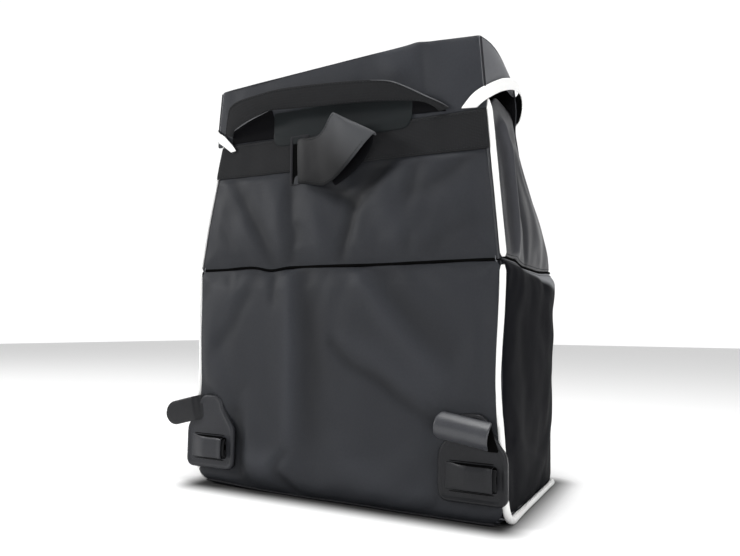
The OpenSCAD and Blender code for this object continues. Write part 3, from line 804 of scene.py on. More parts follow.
def save_panel(name, grid, cloth, slot, cad_node, thickness=PANEL_T, fold_shade=None):
    """A body panel, drawn in along its seams, and kept for the pieces that follow it."""
    draw_in = 1.6 * MM * np.exp(-((edge_distance(grid) / (5 * MM)) ** 2))
    grid = grid - grid_normals(grid) * draw_in[..., None]
    panels[name] = grid
    levels = 1 if grid.size < 40000 else 0
    obj = place(thick_sheet(name, grid, thickness, cloth, LINING, levels, fold_shade), "bag", slot, cad_node)


LOW_Z = 0.6 * MM
REAR_T = 1.8 * MM
# The stiffening sheet behind the rear stops a fold from going deeper than this.
FOLD_FLOOR = -3.2 * MM


def rear_panel(rest, hold, lines, rise, seed, free=1.0):
    """Settles, folds and fills out one rear panel; free is 0 where it is held flat."""
    grid = settle(rest, hold, 1.2, 0.006, 4 * MM)
    fold_shade = np.maximum(creases(rest, X, Z, lines), -7.0 * MM)
    folds = np.maximum(fold_shade + rise, FOLD_FLOOR) + ripples(rest, X, Z, seed, 0.4 * MM)
    return seam_line(push(grid, folds * free)), fold_shade


def rear_panels():
    rest = rear_grid(LOW_Z, SEAM_Z - EDGE_GAP)
    hold = seam_hold(rest)
    for x in (-0.176, 0.168):
        hold = np.maximum(hold, ((abs(rest[..., X] - x) < 0.028) & (abs(rest[..., Z] - 0.052) < 0.022)) * 1.0)
    plates = [(x, 0.066, 0.036, 0.046) for x in (-0.174, 0.168)]
    grid, fold_shade = rear_panel(rest, hold, REAR_LOWER_FOLDS, fullness(rest, 4.2 * MM, plates), 3)
    save_panel("rear_lower", grid, SHELL, "shell_fabric", "rear_panel_lower", REAR_T, fold_shade)

    rest = rear_grid(SEAM_Z + EDGE_GAP, MOUTH_Z)
    hold = np.maximum(seam_hold(rest), (rest[..., Z] > band_lo.z - 2 * MM) * 1.0)
    below_band = 1 - smooth_step((rest[..., Z] - band_lo.z + 8 * MM) / (8 * MM))
    grid, fold_shade = rear_panel(rest, hold, REAR_UPPER_FOLDS, fullness(rest, 3.8 * MM), 5, below_band)
    save_panel("rear_upper", grid, SHELL, "shell_fabric", "rear_panel_upper", REAR_T, fold_shade)


def side_panels():
    rest = side_grid(LOW_Z, SEAM_Z - 0.4 * MM)
    grid = settle(rest, seam_hold(rest), 1.8, 0.008, 7 * MM)
    # Under the seam the side puffs out into a shelf.
    below = (SEAM_Z - rest[..., Z]) / MM
    fade = 0.25 + 0.75 * np.exp(-((np.maximum(below - 14, 0) / 30) ** 2))
    shelf = 6.5 * MM * smooth_step((below - 1) / 13) * fade * (1 + 0.12 * np.sin(rest[..., Y] * 95 + 1))
    fold_shade = creases(rest, Y, Z, SIDE_FOLDS)
    grid = push(grid, fold_shade + shelf + ripples(rest, Y, Z, 7, 0.5 * MM), 4 * MM)
    lower, lower_fold_shade = seam_line(grid, side=True), fold_shade

    rest = side_grid(SEAM_Z + 0.4 * MM, COLLAR_Z)
    above = smooth_step((rest[..., Z] - (MOUTH_Z - 8 * MM)) / (22 * MM))
    grid = settle(rest, np.maximum(seam_hold(rest), above), 1.4, 0.008, 6 * MM)
    fold_shade = creases(rest, Y, Z, GUSSET_FOLDS) * (1 - above)
    grid = push(grid, fold_shade + ripples(rest, Y, Z, 9, 0.35 * MM) * (1 - above))
    gusset = seam_line(collar_cut(grid), side=True)
    forms = (("side_lower", "side_panel", SIDE, lower, lower_fold_shade),
             ("gusset", "side_gusset", GUSSET, gusset, fold_shade))
    for word, side in SIDES:
        for name, cad_name, cloth, grid, painted_light in forms:
            if side < 0:
                grid, painted_light = mirror_grid(grid, True), painted_light[:, ::-1]
            save_panel(name + "_" + word, grid, cloth, "side_fabric", cad_name + "_" + word, fold_shade=painted_light)


def front_panels():
    rest = front_grid(LOW_Z, SEAM_Z - EDGE_GAP)
    grid = settle(rest, seam_hold(rest), 2.0, 0.008, 9 * MM)
    grid = push(grid, creases(rest, X, Z, FRONT_FOLDS) + ripples(rest, X, Z, 11, 0.7 * MM))
    save_panel("front_lower", grid, SHELL, "shell_fabric", "front_panel_lower")

    rest = front_grid(SEAM_Z + EDGE_GAP, COLLAR_Z)
    above = smooth_step((rest[..., Z] - (HEM_Z - 20 * MM)) / (20 * MM))
    grid = settle(rest, np.maximum(seam_hold(rest), above), 1.6, 0.008, 8 * MM)
    grid = push(grid, ripples(rest, X, Z, 13, 0.7 * MM) * (1 - above))
    save_panel("front_upper", grid, SHELL, "shell_fabric", "front_panel_upper")


rear_panels()
side_panels()
front_panels()


# ---- base, bindings and lining ----

def base_pad():
    """The base: a flat pad with rounded edges that tucks up a little all round."""
    rows = np.concatenate([np.linspace(-1, 0.95, 33), np.linspace(0.96, 1, 6)])
    gx, gy = np.meshgrid(np.linspace(-1, 1, 67), rows)
    half_x, half_y = HALF_BASE - 3 * MM, (BASE_FRONT_Y - REAR_Y) / 2 - 4 * MM
    rim = np.maximum(abs(gx), abs(gy))
    lift = 2.2 * MM * smooth_step((rim - 0.94) / 0.06)
    sag = 0.035 * MM * (np.sin(gx * 9) * np.sin(gy * 7) + 1) * smooth_step((0.97 - rim) / 0.2)
    corner = 1 - 0.02 * (abs(gx * gy) ** 6)
    raised = base_lift(gx * half_x) * smooth_step((gy - 0.965) / 0.035)
    outer = xyz(gx * half_x * corner, -gy * half_y * corner, lift + sag + raised)
    sheet("base_pad", outer, 3.6 * MM, SHELL, "bag", "side_fabric", "base_panel", inner=LINING, padding=0.3)


def seam_tape():
    """The dark tape that shows in the groove round the middle."""
    inset = 2.4 * MM
    half, rear, front = HALF_SEAM - inset, REAR_Y + inset, FRONT_Y - inset
    corners = xyz(np.array([-half, half, half, -half]), np.array([rear, rear, front, front]), SEAM_Z)
    t = np.linspace(0, 1, 60, endpoint=False)[:, None]
    ring = [a + (b - a) * t for a, b in zip(corners, np.roll(corners, -1, 0))]
    r = np.vstack(ring + [corners[:1]])
    at_side = smooth_step((r[:, Y] - REAR_Y) / (10 * MM))
    r[:, Z] += seam_wave(r[:, X]) * (r[:, Y] < REAR_Y + 6 * MM) + side_seam_wave(r[:, Y]) * at_side
    r[:, X] += left_lean(r[:, X], r[:, Z]) * (1 - smooth_step((r[:, Y] - REAR_Y) / (190 * MM)))
    tape = tube("seam_tape", r, 1.7 * MM, DEEP, sides=8, wobble=0.05)
    place(tape, "bag", "binding_black", "mid_seam_binding")


def base_edge():
    """The bound edge along the rear bottom; it rises with the cloth towards the left corner."""
    lo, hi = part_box("base_binding")
    x = np.linspace(lo.x, hi.x, 110)
    z = 1.4 * MM + base_lift(x) * 0.8 + 0.2 * MM * np.sin(x * 35 + 1)
    path = xyz(x, REAR_Y + 3.6 * MM + 0.4 * MM * np.sin(x * 60), z)
    edge = tube("base_edge", path, 1.2 * MM, BINDING, sides=10, wobble=0.08)
    place(edge, "bag", "binding_black", "base_binding")


def lining_pocket():
    """The lining follows each panel on its inside, and a floor patch closes it."""
    behind_board = 7.6 * MM
    pieces = []
    for name, grid in panels.items():
        off = behind_board if name.startswith("rear") else PANEL_T + 1.2 * MM
        pieces.append((grid - grid_normals(grid) * off)[::2, ::2][:, ::-1])
    x = HALF_BASE * np.linspace(-1, 1, 30)
    y = np.linspace(REAR_Y + behind_board, BASE_FRONT_Y - 6 * MM, 18)[:, None]
    floor_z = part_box("lining")[0].z + 0.5 * MM
    pieces.append(xyz(x, y, floor_z + 0.6 * MM * np.sin(x * 40) * np.sin(y * 50)))
    faces, first = [], 0
    for grid in pieces:
        rows, cols = grid.shape[:2]
        index = first + np.arange(rows * cols).reshape(rows, cols)
        faces += quads(index[:-1, :-1], index[:-1, 1:], index[1:, 1:], index[1:, :-1]).tolist()
        first += rows * cols
    uvs = [grid_uv(grid).reshape(-1, 2) for grid in pieces[:-1]] + [pieces[-1][..., :2].reshape(-1, 2)]
    verts = np.vstack([grid.reshape(-1, 3) for grid in pieces])
    obj = new_object("lining_pocket", verts, faces, np.vstack(uvs), [LINING])
    solid = obj.modifiers.new("thickness", "SOLIDIFY")
    solid.thickness = 0.8 * MM
    solid.offset = 0
    apply_modifiers(obj)
    place(obj, "bag", "lining_grey", "lining")


def collar_edge():
    """The bound edge along the collar's top."""
    path = panels["front_upper"][-1] + np.array([0, -PANEL_T / 2, 0])
    place(tube("collar_binding", path, 2.2 * MM, BINDING, sides=8), "bag", "binding_black", "mouth_binding")


base_pad()
seam_tape()
base_edge()
lining_pocket()
collar_edge()


# ---- band, stitching and piping ----

def webbing_band():
    rows = []
    x_unit = np.linspace(-1, 1, 90)
    for k, z in enumerate(np.linspace(band_lo.z, MOUTH_Z - 0.8 * MM, 12)):
        x = x_unit * (float(half_width(z)) - 0.5 * MM)
        ruck = 0.5 * MM * np.sin(x * 70 + 1.3) * np.sin(math.pi * k / 11) + 0.35 * MM * np.sin(x * 160)
        droop = 0.8 * MM * np.sin(x * 22 + 0.6) * (1 - k / 11)
        rows.append(xyz(x + left_lean(x, z), REAR_Y - 2.0 * MM - ruck * 0.6, z + droop))
    sheet("band", rows, 2.0 * MM, WEB, "bag", "webbing_black", "webbing_band")
    rear = np.tile([0, -1.0, 0], (len(x_unit), 1))
    for name, row, dz in (("band_stitch_low", rows[0], 2.6 * MM), ("band_stitch_high", rows[-1], -2.6 * MM)):
        stitch_line(name, row + np.array([0, -0.1 * MM, dz]), rear, "bag", "webbing_black")


def seam_stitches():
    """Rows of stitching beside the middle seam, on the sides."""
    rows = {"side_lower_right": -2, "side_lower_left": -2, "gusset_right": 1, "gusset_left": 1}
    for name, i in rows.items():
        grid = panels[name]
        n = grid_normals(grid)[i]
        stitch_line("stitch_" + name, grid[i] + n * 0.15 * MM, n, "bag", "binding_black")


def piping():
    lo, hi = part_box("piping_lower_right")
    upper_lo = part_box("piping_upper_right")[0]
    r, x, back = (hi.x - lo.x) / 2, (lo.x + hi.x) / 2, lo.y + (hi.x - lo.x) / 2
    low, front = lo.z + r, BASE_FRONT_Y - 13 * MM
    down = np.linspace(hi.z, low + PIPE_BEND, 40)
    bend = np.linspace(0, math.pi / 2, 14)[1:]
    forward = np.linspace(back + PIPE_BEND, front, 36)[1:]
    turn = np.linspace(0, math.pi / 2, 8)[1:]
    lower = np.vstack([
        xyz(x - 1.5 * MM - 6.0 * MM * bump(down, 0.15, 0.07), back - 0.8 * MM, down),
        xyz(x - 1.0 * MM * np.cos(bend), back + PIPE_BEND * (1 - np.cos(bend)),
            low + PIPE_BEND * (1 - np.sin(bend))),
        xyz(x, forward, low + 0.4 * MM),
        xyz(x - 15 * MM * (1 - np.cos(turn)), front + 13 * MM * np.sin(turn), low + 0.4 * MM)])
    swell = 1.12 + 0.30 * np.exp(-(((np.arange(len(lower)) - 47) / 9.0) ** 2))
    z = np.linspace(upper_lo.z + 1 * MM, MOUTH_Z + 12 * MM, 44)
    taper = np.clip((MOUTH_Z + 12 * MM - z) / (14 * MM), 0.12, 1) ** 0.6
    # On the left the upper piping is drawn in behind the cloth's edge.
    upper_forms = {"right": (0.8, 0.8 * MM, 1.12), "left": (0.2, 1.6 * MM, 0.55)}
    for word, side in SIDES:
        path = lower * (side, 1, 1)
        if side < 0:
            path[:, X] += left_lean(path[:, X], path[:, Z]) * (path[:, Y] < back + 1 * MM)
        cord = tube("piping_low_" + word, path, r * swell, WHITE, sides=14, wobble=0.03)
        place(cord, "bag", "piping_white", "piping_lower_" + word)

        out, proud, size = upper_forms[word]
        path = xyz((half_width(z) + r * out) * side, back - proud, z)
        if side < 0:
            path[:, X] += left_lean(path[:, X], z)
        cord = tube("piping_up_" + word, path, size * r * taper, WHITE, sides=14, wobble=0.03)
        place(cord, "bag", "piping_white", "piping_upper_" + word)


webbing_band()
seam_stitches()
piping()


# ---- lid ----

LID_CROWN = 9 * MM
LID_DROP = 8 * MM
KINK_X = 0.102
LID_REAR_FOLDS = [
    ([(84, 540), (84, 500), (88, 440)], 20, 2.4),
    ([(107, 538), (109, 490), (114, 440)], 7, -1.3),
    ([(150, 530), (152, 450)], 22, 0.8),
    ([(-120, 505), (-60, 480)], 14, -1.2),
    ([(-160, 510), (-156, 450)], 12, -1.6),
    ([(60, 524), (76, 500)], 12, 1.4),
]
LID_TOP_FOLDS = [([(102, -115), (82, 0)], 10, 2.0), ([(-100, -50), (20, -30)], 22, -2.0)]
LID_U = np.linspace(0, 1, 82)


def rear_edge_z(x):
    """Height of the lid's rear top edge: it climbs to a kink right of the middle, then falls again."""
    left, right, peak = LID_Z - 8 * MM, LID_Z - 1 * MM, LID_Z + 5 * MM
    rise = left + (peak - left) * np.clip((x + HALF_LID) / (KINK_X + HALF_LID), 0, 1) ** 0.9
    fall = peak + (right - peak) * np.clip((x - KINK_X) / (HALF_LID - KINK_X), 0, 1)
    return np.where(x < KINK_X, rise, fall)


def lid_top_z(x, t):
    """Height of the lid's top at x, with t from 0 at the rear edge to 1 at the front one."""
    ahead = smooth_step(t * 1.3)
    edge = rear_edge_z(x) * (1 - ahead) + LID_Z * ahead
    return edge + LID_CROWN * np.sin(math.pi * t) - LID_DROP * t ** 2


def lid_half(z):
    return HALF_MOUTH + (HALF_LID - HALF_MOUTH) * np.clip((z - MOUTH_Z) / (LID_Z - MOUTH_Z), 0, 1.1)


def lid_rear():
    t = np.linspace(0, 1, 20)[:, None]
    x = (2 * LID_U - 1) * lid_half(HINGE_Z + t * (LID_Z - HINGE_Z))
    rest = xyz(x, REAR_Y, HINGE_Z + t * (rear_edge_z(x) - HINGE_Z))
    under_patch = (abs(rest[..., X]) < 0.115) & (rest[..., Z] < 0.472)
    grid = settle(rest, np.maximum(seam_hold(rest), under_patch), 0.5, 0.004, 3 * MM)
    # Ridges stay clear of the patch behind the handle.
    clear = np.maximum(abs(rest[..., X]) - 0.112, rest[..., Z] - 0.486) + 0.004
    folds = creases(rest, X, Z, LID_REAR_FOLDS)
    folds = np.where(folds > 0, folds * smooth_step(clear / 0.022), folds)
    grid = push(grid, folds + ripples(rest, X, Z, 17, 0.4 * MM) * smooth_step(clear / 0.02), 3 * MM)
    # The fold heights set painted shade, offset by 2.2 mm so the whole panel is a little paler.
    sheet("lid_rear", grid, LID_T, SHELL, "lid", "shell_fabric", "lid_rear_panel", inner=LINING,
          fold_shade=folds + 2.2 * MM, padding=0.3)


def lid_top():
    t = np.linspace(0, 1, 27)[:, None]
    x = (2 * LID_U - 1) * HALF_LID
    rest = xyz(x, REAR_Y + t * (LID_FRONT_Y - 6 * MM - REAR_Y), lid_top_z(x, t))
    grid = settle(rest, seam_hold(rest), 1.0, 0.008, 5 * MM)
    grid = push(grid, creases(rest, X, Y, LID_TOP_FOLDS) + ripples(rest, X, Y, 19, 0.6 * MM))
    sheet("lid_top", grid, LID_T, SHELL, "lid", "shell_fabric", "lid_top_panel", inner=LINING, padding=0.3)
    board = (grid - grid_normals(grid) * (LID_T + 1.2 * MM))[4:-5, 5:-5]
    sheet("lid_stiffener", board, 1.6 * MM, BOARD, "lid", "board", "lid_board")


def lid_flap():
    """The lid's front: down from the top, and forward over the slope of the body to a bound hem."""
    profile = catmull([
        (LID_FRONT_Y - 6 * MM, LID_Z - LID_DROP), (LID_FRONT_Y - 1 * MM, LID_Z - 16 * MM),
        (LID_FRONT_Y + 0.5 * MM, LID_Z - 30 * MM), (LID_FRONT_Y + 1 * MM, MOUTH_Z + 16 * MM),
        (LID_FRONT_Y + 6 * MM, MOUTH_Z + 3 * MM), (LID_FRONT_Y + 18 * MM, MOUTH_Z - 15 * MM),
        (MOUTH_FRONT_Y + 34 * MM, HEM_Z)], 5)[::-1]
    y, z = profile[:, :1], profile[:, 1:]
    half = lid_half(np.maximum(z, MOUTH_Z)) + 5.0 * MM * smooth_step((z - MOUTH_Z) / (40 * MM)) - 4.0 * MM
    rest = xyz((1 - 2 * LID_U) * half, y, z)
    grid = settle(rest, seam_hold(rest), 0.8, 0.008, 4 * MM)
    grid = push(grid, ripples(rest, X, Z, 23, 0.6 * MM))
    # The flap's inside is near-black: painted shade.
    sheet("lid_flap", grid, LID_T, SHELL, "lid", "shell_fabric", "lid_front_flap", inner=STRAP_BACK,
          padding=0.3)
    hem = grid[:3] + grid_normals(grid)[:3] * 0.9 * MM
    hem[0, :, Z] -= 0.5 * MM
    sheet("flap_hem", hem, 1.2 * MM, BINDING, "lid", "binding_black", "flap_hem_binding")


def lid_wings():
    """The lid's sides, from the straps' line up to the lid's top, and the cords along their rear edges."""
    ys = np.linspace(REAR_Y, LID_FRONT_Y, 27)
    t_top = np.clip((ys - REAR_Y) / (LID_FRONT_Y - 6 * MM - REAR_Y), 0, 1)
    low = MOUTH_Z + MM * np.interp(ys - REAR_Y, np.array([0, 22, 53, 95, 131]) * MM, [14, 27, 43, 53, 55])
    t = np.linspace(0, 1, 16)[:, None]
    for word, side in SIDES:
        front_drop = 9 * MM * smooth_step((ys - LID_FRONT_Y + 10 * MM) / (10 * MM))
        top = lid_top_z(side * HALF_LID, t_top) - front_drop
        z = low + t * (top - low)
        puff = np.sin(math.pi * t) * np.sin(math.pi * (ys - REAR_Y) / (LID_FRONT_Y - REAR_Y))
        grid = xyz(lid_half(z) + 3.5 * MM * puff, ys, z)
        grid = grid if side > 0 else mirror_grid(grid)
        sheet("wing_" + word, grid, LID_T, WING, "lid", "wing_fabric", "lid_wing_" + word, inner=LINING,
              padding=0.4)
        z = np.linspace(HINGE_Z + 24 * MM, float(rear_edge_z(side * HALF_LID)) - 2 * MM, 40)
        path = xyz(side * (lid_half(z) + 0.4 * MM), REAR_Y + 0.6 * MM, z)
        cord = tube("lid_cord_" + word, path, 1.2 * MM, BINDING, sides=8, wobble=0.05)
        place(cord, "lid", "binding_black", "lid_piping_" + word)


lid_rear()
lid_top()
lid_flap()
lid_wings()


# ---- straps that ride on the lid ----

def corner_straps():
    """White straps with a black inside: from the hinge seam, up over the side, and round the front corner."""
    right = [
        ((156, -117.2, 440.2), (173.5, -117.2, 438.6)),
        ((168, -118.2, 452.5), (180.7, -118, 443.8)),
        ((178.0, -118, 458.8), (186.2, -116.5, 447.5)),
        ((184, -111, 464), (187.6, -108, 451.8)),
        ((186, -89.8, 474.8), (187.6, -90, 460.5)),
        ((186.5, -54, 490.8), (188, -60, 474)),
        ((187, -20, 502.0), (189, -25, 486.8)),
        ((187.5, 0, 504.2), (190, 0, 491)),
        ((187.0, 12, 502.5), (190.0, 15, 487)),
        ((183.5, 23, 498.5), (187.5, 24, 474)),
        ((175, 29, 495), (181, 29, 461)),
        ((162, 28, 488), (169, 26, 454)),
        ((147, 20, 478), (157, 19, 450)),
    ]
    left = [
        ((-150, -118, 428.6), (-158, -118, 427.4)),
        ((-153.2, -118.4, 434), (-164, -118.2, 432)),
        ((-160, -118.6, 441.5), (-171.5, -118.4, 437.4)),
        ((-169, -118.6, 450.3), (-180.5, -118, 443.6)),
        ((-179, -118, 457.2), (-187, -114, 450.5)),
    ] + [((-u[0], u[1], u[2]), (-v[0], v[1], v[2])) for u, v in right[3:]]
    forms = (("right", right, [STRAP_WHITE, STRAP_BACK]), ("left", left, [STRAP_BACK, STRAP_WHITE]))
    for word, edges, pair in forms:
        obj = edged_ribbon("corner_band_" + word, edges, 1.5 * MM, pair, across_n=6)
        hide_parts("corner_strap_" + word)
        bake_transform(obj)


def patch_behind_handle():
    """A reinforcing patch over the hinge seam, its lower corners rounded; it reaches up under the handle,
    where its dark colour is partly painted shadow of the handle.
    """
    lo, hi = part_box("handle_patch")
    low, high = MOUTH_Z - 10 * MM, hi.z + 7 * MM
    x0, x1 = lo.x - 4 * MM, hi.x + 1 * MM
    r = 13 * MM
    t = np.linspace(0, 1, 14)[:, None]
    x = np.linspace(x0, x1, 70)
    from_end = np.clip(np.minimum(x - x0, x1 - x) / r, 0, 1)
    bottom = low + r * (1 - np.sqrt(np.maximum(1 - (1 - from_end) ** 2, 0)))
    z = bottom + t * (high - bottom)
    y = REAR_Y - 3.2 * MM - 0.4 * MM * np.sin(x * 70) * np.sin(math.pi * t)
    y = y + 1.6 * MM * smooth_step((z - MOUTH_Z) / (8 * MM))
    obj = thick_sheet("patch", xyz(x, y, z), 1.3 * MM, PATCH)
    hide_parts("handle_patch")
    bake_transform(obj)


corner_straps()
patch_behind_handle()


# ---- grab handle ----

LEAN = math.radians(18)


def on_handle(x, h, out):
    """A point of the handle in millimetres: x across, h up its own leaning plane, out in front of it."""
    y = REAR_Y / MM - 5 - h * math.sin(LEAN) - out * math.cos(LEAN)
    z = MOUTH_Z / MM + 4 + h * math.cos(LEAN) - out * math.sin(LEAN)
    return (x, y, z)


def grab_handle():
    """Wide webbing, folded at its left corner, tapering into the seam on the right."""
    outer = [(-167, 10, -2.4), (-162, 20, -1.2), (-156, 32, 0.4), (-149, 43, 1.5), (-134, 48.6, 2.3),
             (-108, 51.5, 3), (-74, 53.5, 3.4), (-30, 51.8, 3.6), (14, 48.6, 3.6), (54, 44.4, 3.2),
             (78, 39.4, 2.6), (98, 29.6, 1.8),
             (118, 17.4, 0.8), (134, 8, -0.6), (143, 1, -2.0)]
    inner = [(-155, 6, -2.2), (-150, 13, 0.6), (-139, 16.8, 2.4), (-122, 22.2, 3.4), (-104, 26.6, 4),
             (-88, 30.4, 4),
             (-62, 29.2, 4), (-24, 26.2, 4), (16, 23.4, 4), (52, 20.8, 3.8), (76, 18.0, 3.4), (96, 15.2, 2.6),
             (113, 11.6, 1.4), (125, 5, 0), (131, -1.5, -1.8)]
    edges = [(on_handle(*a), on_handle(*b)) for a, b in zip(outer, inner)]
    obj = edged_ribbon("handle_strap", edges, 2.2 * MM, [WEB, WEB], per_span=7, across_n=12, crown=0.9 * MM)
    place(obj, "handle", "webbing_black", "carry_handle")
    for side, line, push_in in (("outer", outer, -1.6), ("inner", inner, 1.6)):
        path = catmull([on_handle(x, h + push_in, o) for x, h, o in line], 7) * MM
        out = np.tile([0, -math.cos(LEAN), -math.sin(LEAN)], (len(path), 1))
        stitch_line("handle_stitch_" + side, path + out * 0.5 * MM, out, "handle", "webbing_black")
    # Thin pale cords along parts of the handle's edges: painted highlight.
    for name, line in (("right", outer[9:]), ("left", inner[1:6])):
        rim = catmull([on_handle(x, h, o + 0.2) for x, h, o in line], 8) * MM
        thin = 0.75 * MM * np.sin(np.linspace(0.25, math.pi - 0.12, len(rim)))
        place(tube("handle_rim_" + name, rim, thin, RIM_HIGHLIGHT, sides=8), "handle", "webbing_black")


def handle_shadow_tabs():
    """The handle's folded ends, sewn flat to the lid, from their corners in mm; their near-black colour is
    painted shadow of the handle.
    """
    corners = {"left": ((-160, 455), (-158, 439), (-98, 479), (-84, 438.5)),
               "right": ((91, 460), (91, 443), (124, 455), (139, 440.5))}
    u = np.linspace(0, 1, 18)[:, None]
    for word, (tl, bl, tr, br) in corners.items():
        top = np.array(tl) + (np.array(tr) - np.array(tl)) * u
        low = np.array(bl) + (np.array(br) - np.array(bl)) * u
        y = REAR_Y / MM - 1.0 - 0.6 * np.sin(math.pi * u[:, 0])
        points = [low + (top - low) * t for t in np.linspace(0, 1, 7)]
        rows = [xyz(p[:, 0], y, p[:, 1]) * MM for p in points]
        sheet("handle_shadow_tab_" + word, rows, 1.2 * MM, STRAP_BACK, "lid", "webbing_black")


grab_handle()
handle_shadow_tabs()


# ---- hanging loop and its anchor ----

def hanging_loop():
    """Webbing from its slot: it twists as it rises, folds over at a slanted crest, and comes back behind."""
    edges = [
        ((-55, -119.0, 431.5), (-53, -119.0, 376.5)),
        ((-46, -121.8, 432.0), (-44, -121.4, 375.6)),
        ((-33, -123.2, 431.2), (-29, -122.6, 372.6)),
        ((-21, -125.0, 432.0), (-13, -124.8, 370.0)),
        ((-11, -129.0, 438.0), (4, -130.2, 374.6)),
        ((-2, -134.6, 445.6), (21, -136.4, 384.0)),
        ((5, -139.2, 449.6), (38, -141.6, 396.4)),
        ((10, -140.8, 450.0), (53, -143.6, 410.0)),
        ((13.0, -137.6, 447.6), (63, -141.0, 419.6)),
        ((13.5, -133.5, 443.6), (63.5, -136.5, 417.6)),
    ]
    obj = edged_ribbon("loop_strap", edges, 1.8 * MM, [LOOP, LOOP], per_span=7, across_n=14, crown=0.8 * MM)
    place(obj, "hanging_loop", "webbing_black", "centre_loop")
    back = [
        ((12, -134.5, 443.6), (60, -136.8, 417.0)),
        ((13, -129.0, 440.0), (55, -130.5, 408.5)),
        ((6, -124.6, 432.0), (42, -125.0, 395.0)),
        ((-8, -121.6, 424.0), (24, -121.6, 381.0)),
        ((-24, -120.2, 414.0), (1, -120.2, 368.5)),
    ]
    # The return layer is near-black: painted shade under the fold.
    obj = edged_ribbon("loop_return", back, 1.6 * MM, [STRAP_BACK, STRAP_BACK], per_span=7, across_n=12)
    place(obj, "hanging_loop", "webbing_black")
    for word, k in (("upper", 0), ("lower", 1)):
        pairs = np.array(edges[1:8])
        inward = unit(pairs[:, 1 - k] - pairs[:, k]) * 3.0
        path = catmull(pairs[:, k] + inward, 7) * MM
        out = np.tile([0, -1.0, 0], (len(path), 1))
        stitch_line("loop_stitch_" + word, path + out * 0.3 * MM, out, "hanging_loop", "webbing_black")


def rounded_rectangle(x0, x1, z0, z1, r, steps=5):
    points = []
    centres = ((x1 - r, z0 + r), (x1 - r, z1 - r), (x0 + r, z1 - r), (x0 + r, z0 + r))
    for (cx, cz), start in zip(centres, (-90, 0, 90, 180)):
        for k in range(steps + 1):
            a = math.radians(start + 90 * k / steps)
            points.append((cx + r * math.cos(a), cz + r * math.sin(a)))
    return np.array(points)


def framed_plate(name, outer, inner, front, back, cover, bevel=0.6 * MM):
    """A flat ring between two outlines of equal length, with softened edges."""
    n = len(outer)
    towards = lambda p, d: p + unit(p.mean(0) - p) * d
    loops = [(outer, back), (outer, front + bevel), (towards(outer, bevel), front),
             (towards(inner, -bevel), front), (inner, front + bevel), (inner, back)]
    verts = np.vstack([xyz(ring[:, 0], y, ring[:, 1]) for ring, y in loops])
    last = (len(loops) - 1) * n
    closing = [(last + j, last + (j + 1) % n, (j + 1) % n, j) for j in range(n)]
    return solid_object(name, verts, ring_faces(len(loops), n) + closing, verts[:, [X, Z]], cover)


def loop_anchor():
    """The slotted frame that the loop comes out of, and a near-black sheet in its slot: painted shadow in the
    hollow.
    """
    lo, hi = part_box("loop_anchor")
    outer = rounded_rectangle(-65.5 * MM, -38 * MM, 374.5 * MM, 437 * MM, 2 * MM)
    inner = rounded_rectangle(-62 * MM, -47.5 * MM, 376.5 * MM, 434.5 * MM, 1.2 * MM)
    obj = framed_plate("loop_plate", outer, inner, lo.y + 0.8 * MM, hi.y, BINDING)
    place(obj, "bag", "webbing_black", "loop_anchor")
    hollow = xyz(np.linspace(-63.5, -45.5, 6) * MM, hi.y - 0.3 * MM, np.linspace(374, 435, 8)[:, None] * MM)
    sheet("loop_slot_shadow", hollow, 0.6 * MM, DEEP, "bag", "webbing_black")


hanging_loop()
loop_anchor()


# ---- moulded anchor plates, keepers and tongues ----

def plate_outline(width, bottom, shoulder, top, neck, steps=10):
    """Half outline from the bottom middle, up the right side, to the top middle; then mirrored."""
    r, neck_r = 10 * MM, 14 * MM
    pts = [(0, bottom), (width / 4, bottom)]
    for k in range(steps + 1):
        a = math.radians(-90 + 90 * k / steps)
        pts.append((width / 2 - r + r * math.cos(a), bottom + r + r * math.sin(a)))
    pts.append((width / 2, (bottom + shoulder) / 2))
    ctrl = catmull([(width / 2, shoulder - 8 * MM), (width / 2 - 2 * MM, shoulder + 1 * MM),
                    (neck / 2 + 8 * MM, shoulder + 14 * MM), (neck / 2 + 1 * MM, top - 16 * MM)], 5)
    pts.extend(map(tuple, ctrl))
    for k in range(1, steps + 1):
        a = math.radians(90 * k / steps)
        pts.append((neck / 2 - neck_r + neck_r * math.cos(a), top - neck_r + neck_r * math.sin(a)))
    pts.append((0, top))
    left = [(-x, z) for x, z in pts[-2:0:-1]]
    return np.array(pts + left)


def resampled(loop, count):
    closed = np.vstack([loop, loop[:1]])
    run = run_length(closed)
    s = np.linspace(0, run[-1], count, endpoint=False)
    return np.stack([np.interp(s, run, closed[:, k]) for k in (0, 1)], axis=1)


def inset_loop(loop, d):
    tangent = unit(np.roll(loop, -1, 0) - np.roll(loop, 1, 0))
    return loop + np.stack([-tangent[:, 1], tangent[:, 0]], axis=1) * d


PLATE_FRONT_Y = REAR_Y - 5 * MM
KEEPER_LOW, KEEPER_HIGH = 35 * MM, 63 * MM
# Depth of a plate's surface against distance in from its edge: a rolled rim round a shallow field.
PLATE_PROFILE = [(0.0, 0.6), (0.0, -3.2), (0.7, -4.6), (2.0, -5.4), (3.6, -5.3), (4.8, -4.6), (6.5, -4.4),
                 (10.0, -4.6)]


def squared(value, power):
    """Sine or cosine values flattened towards a box shape."""
    return np.copysign(abs(value) ** power, value)


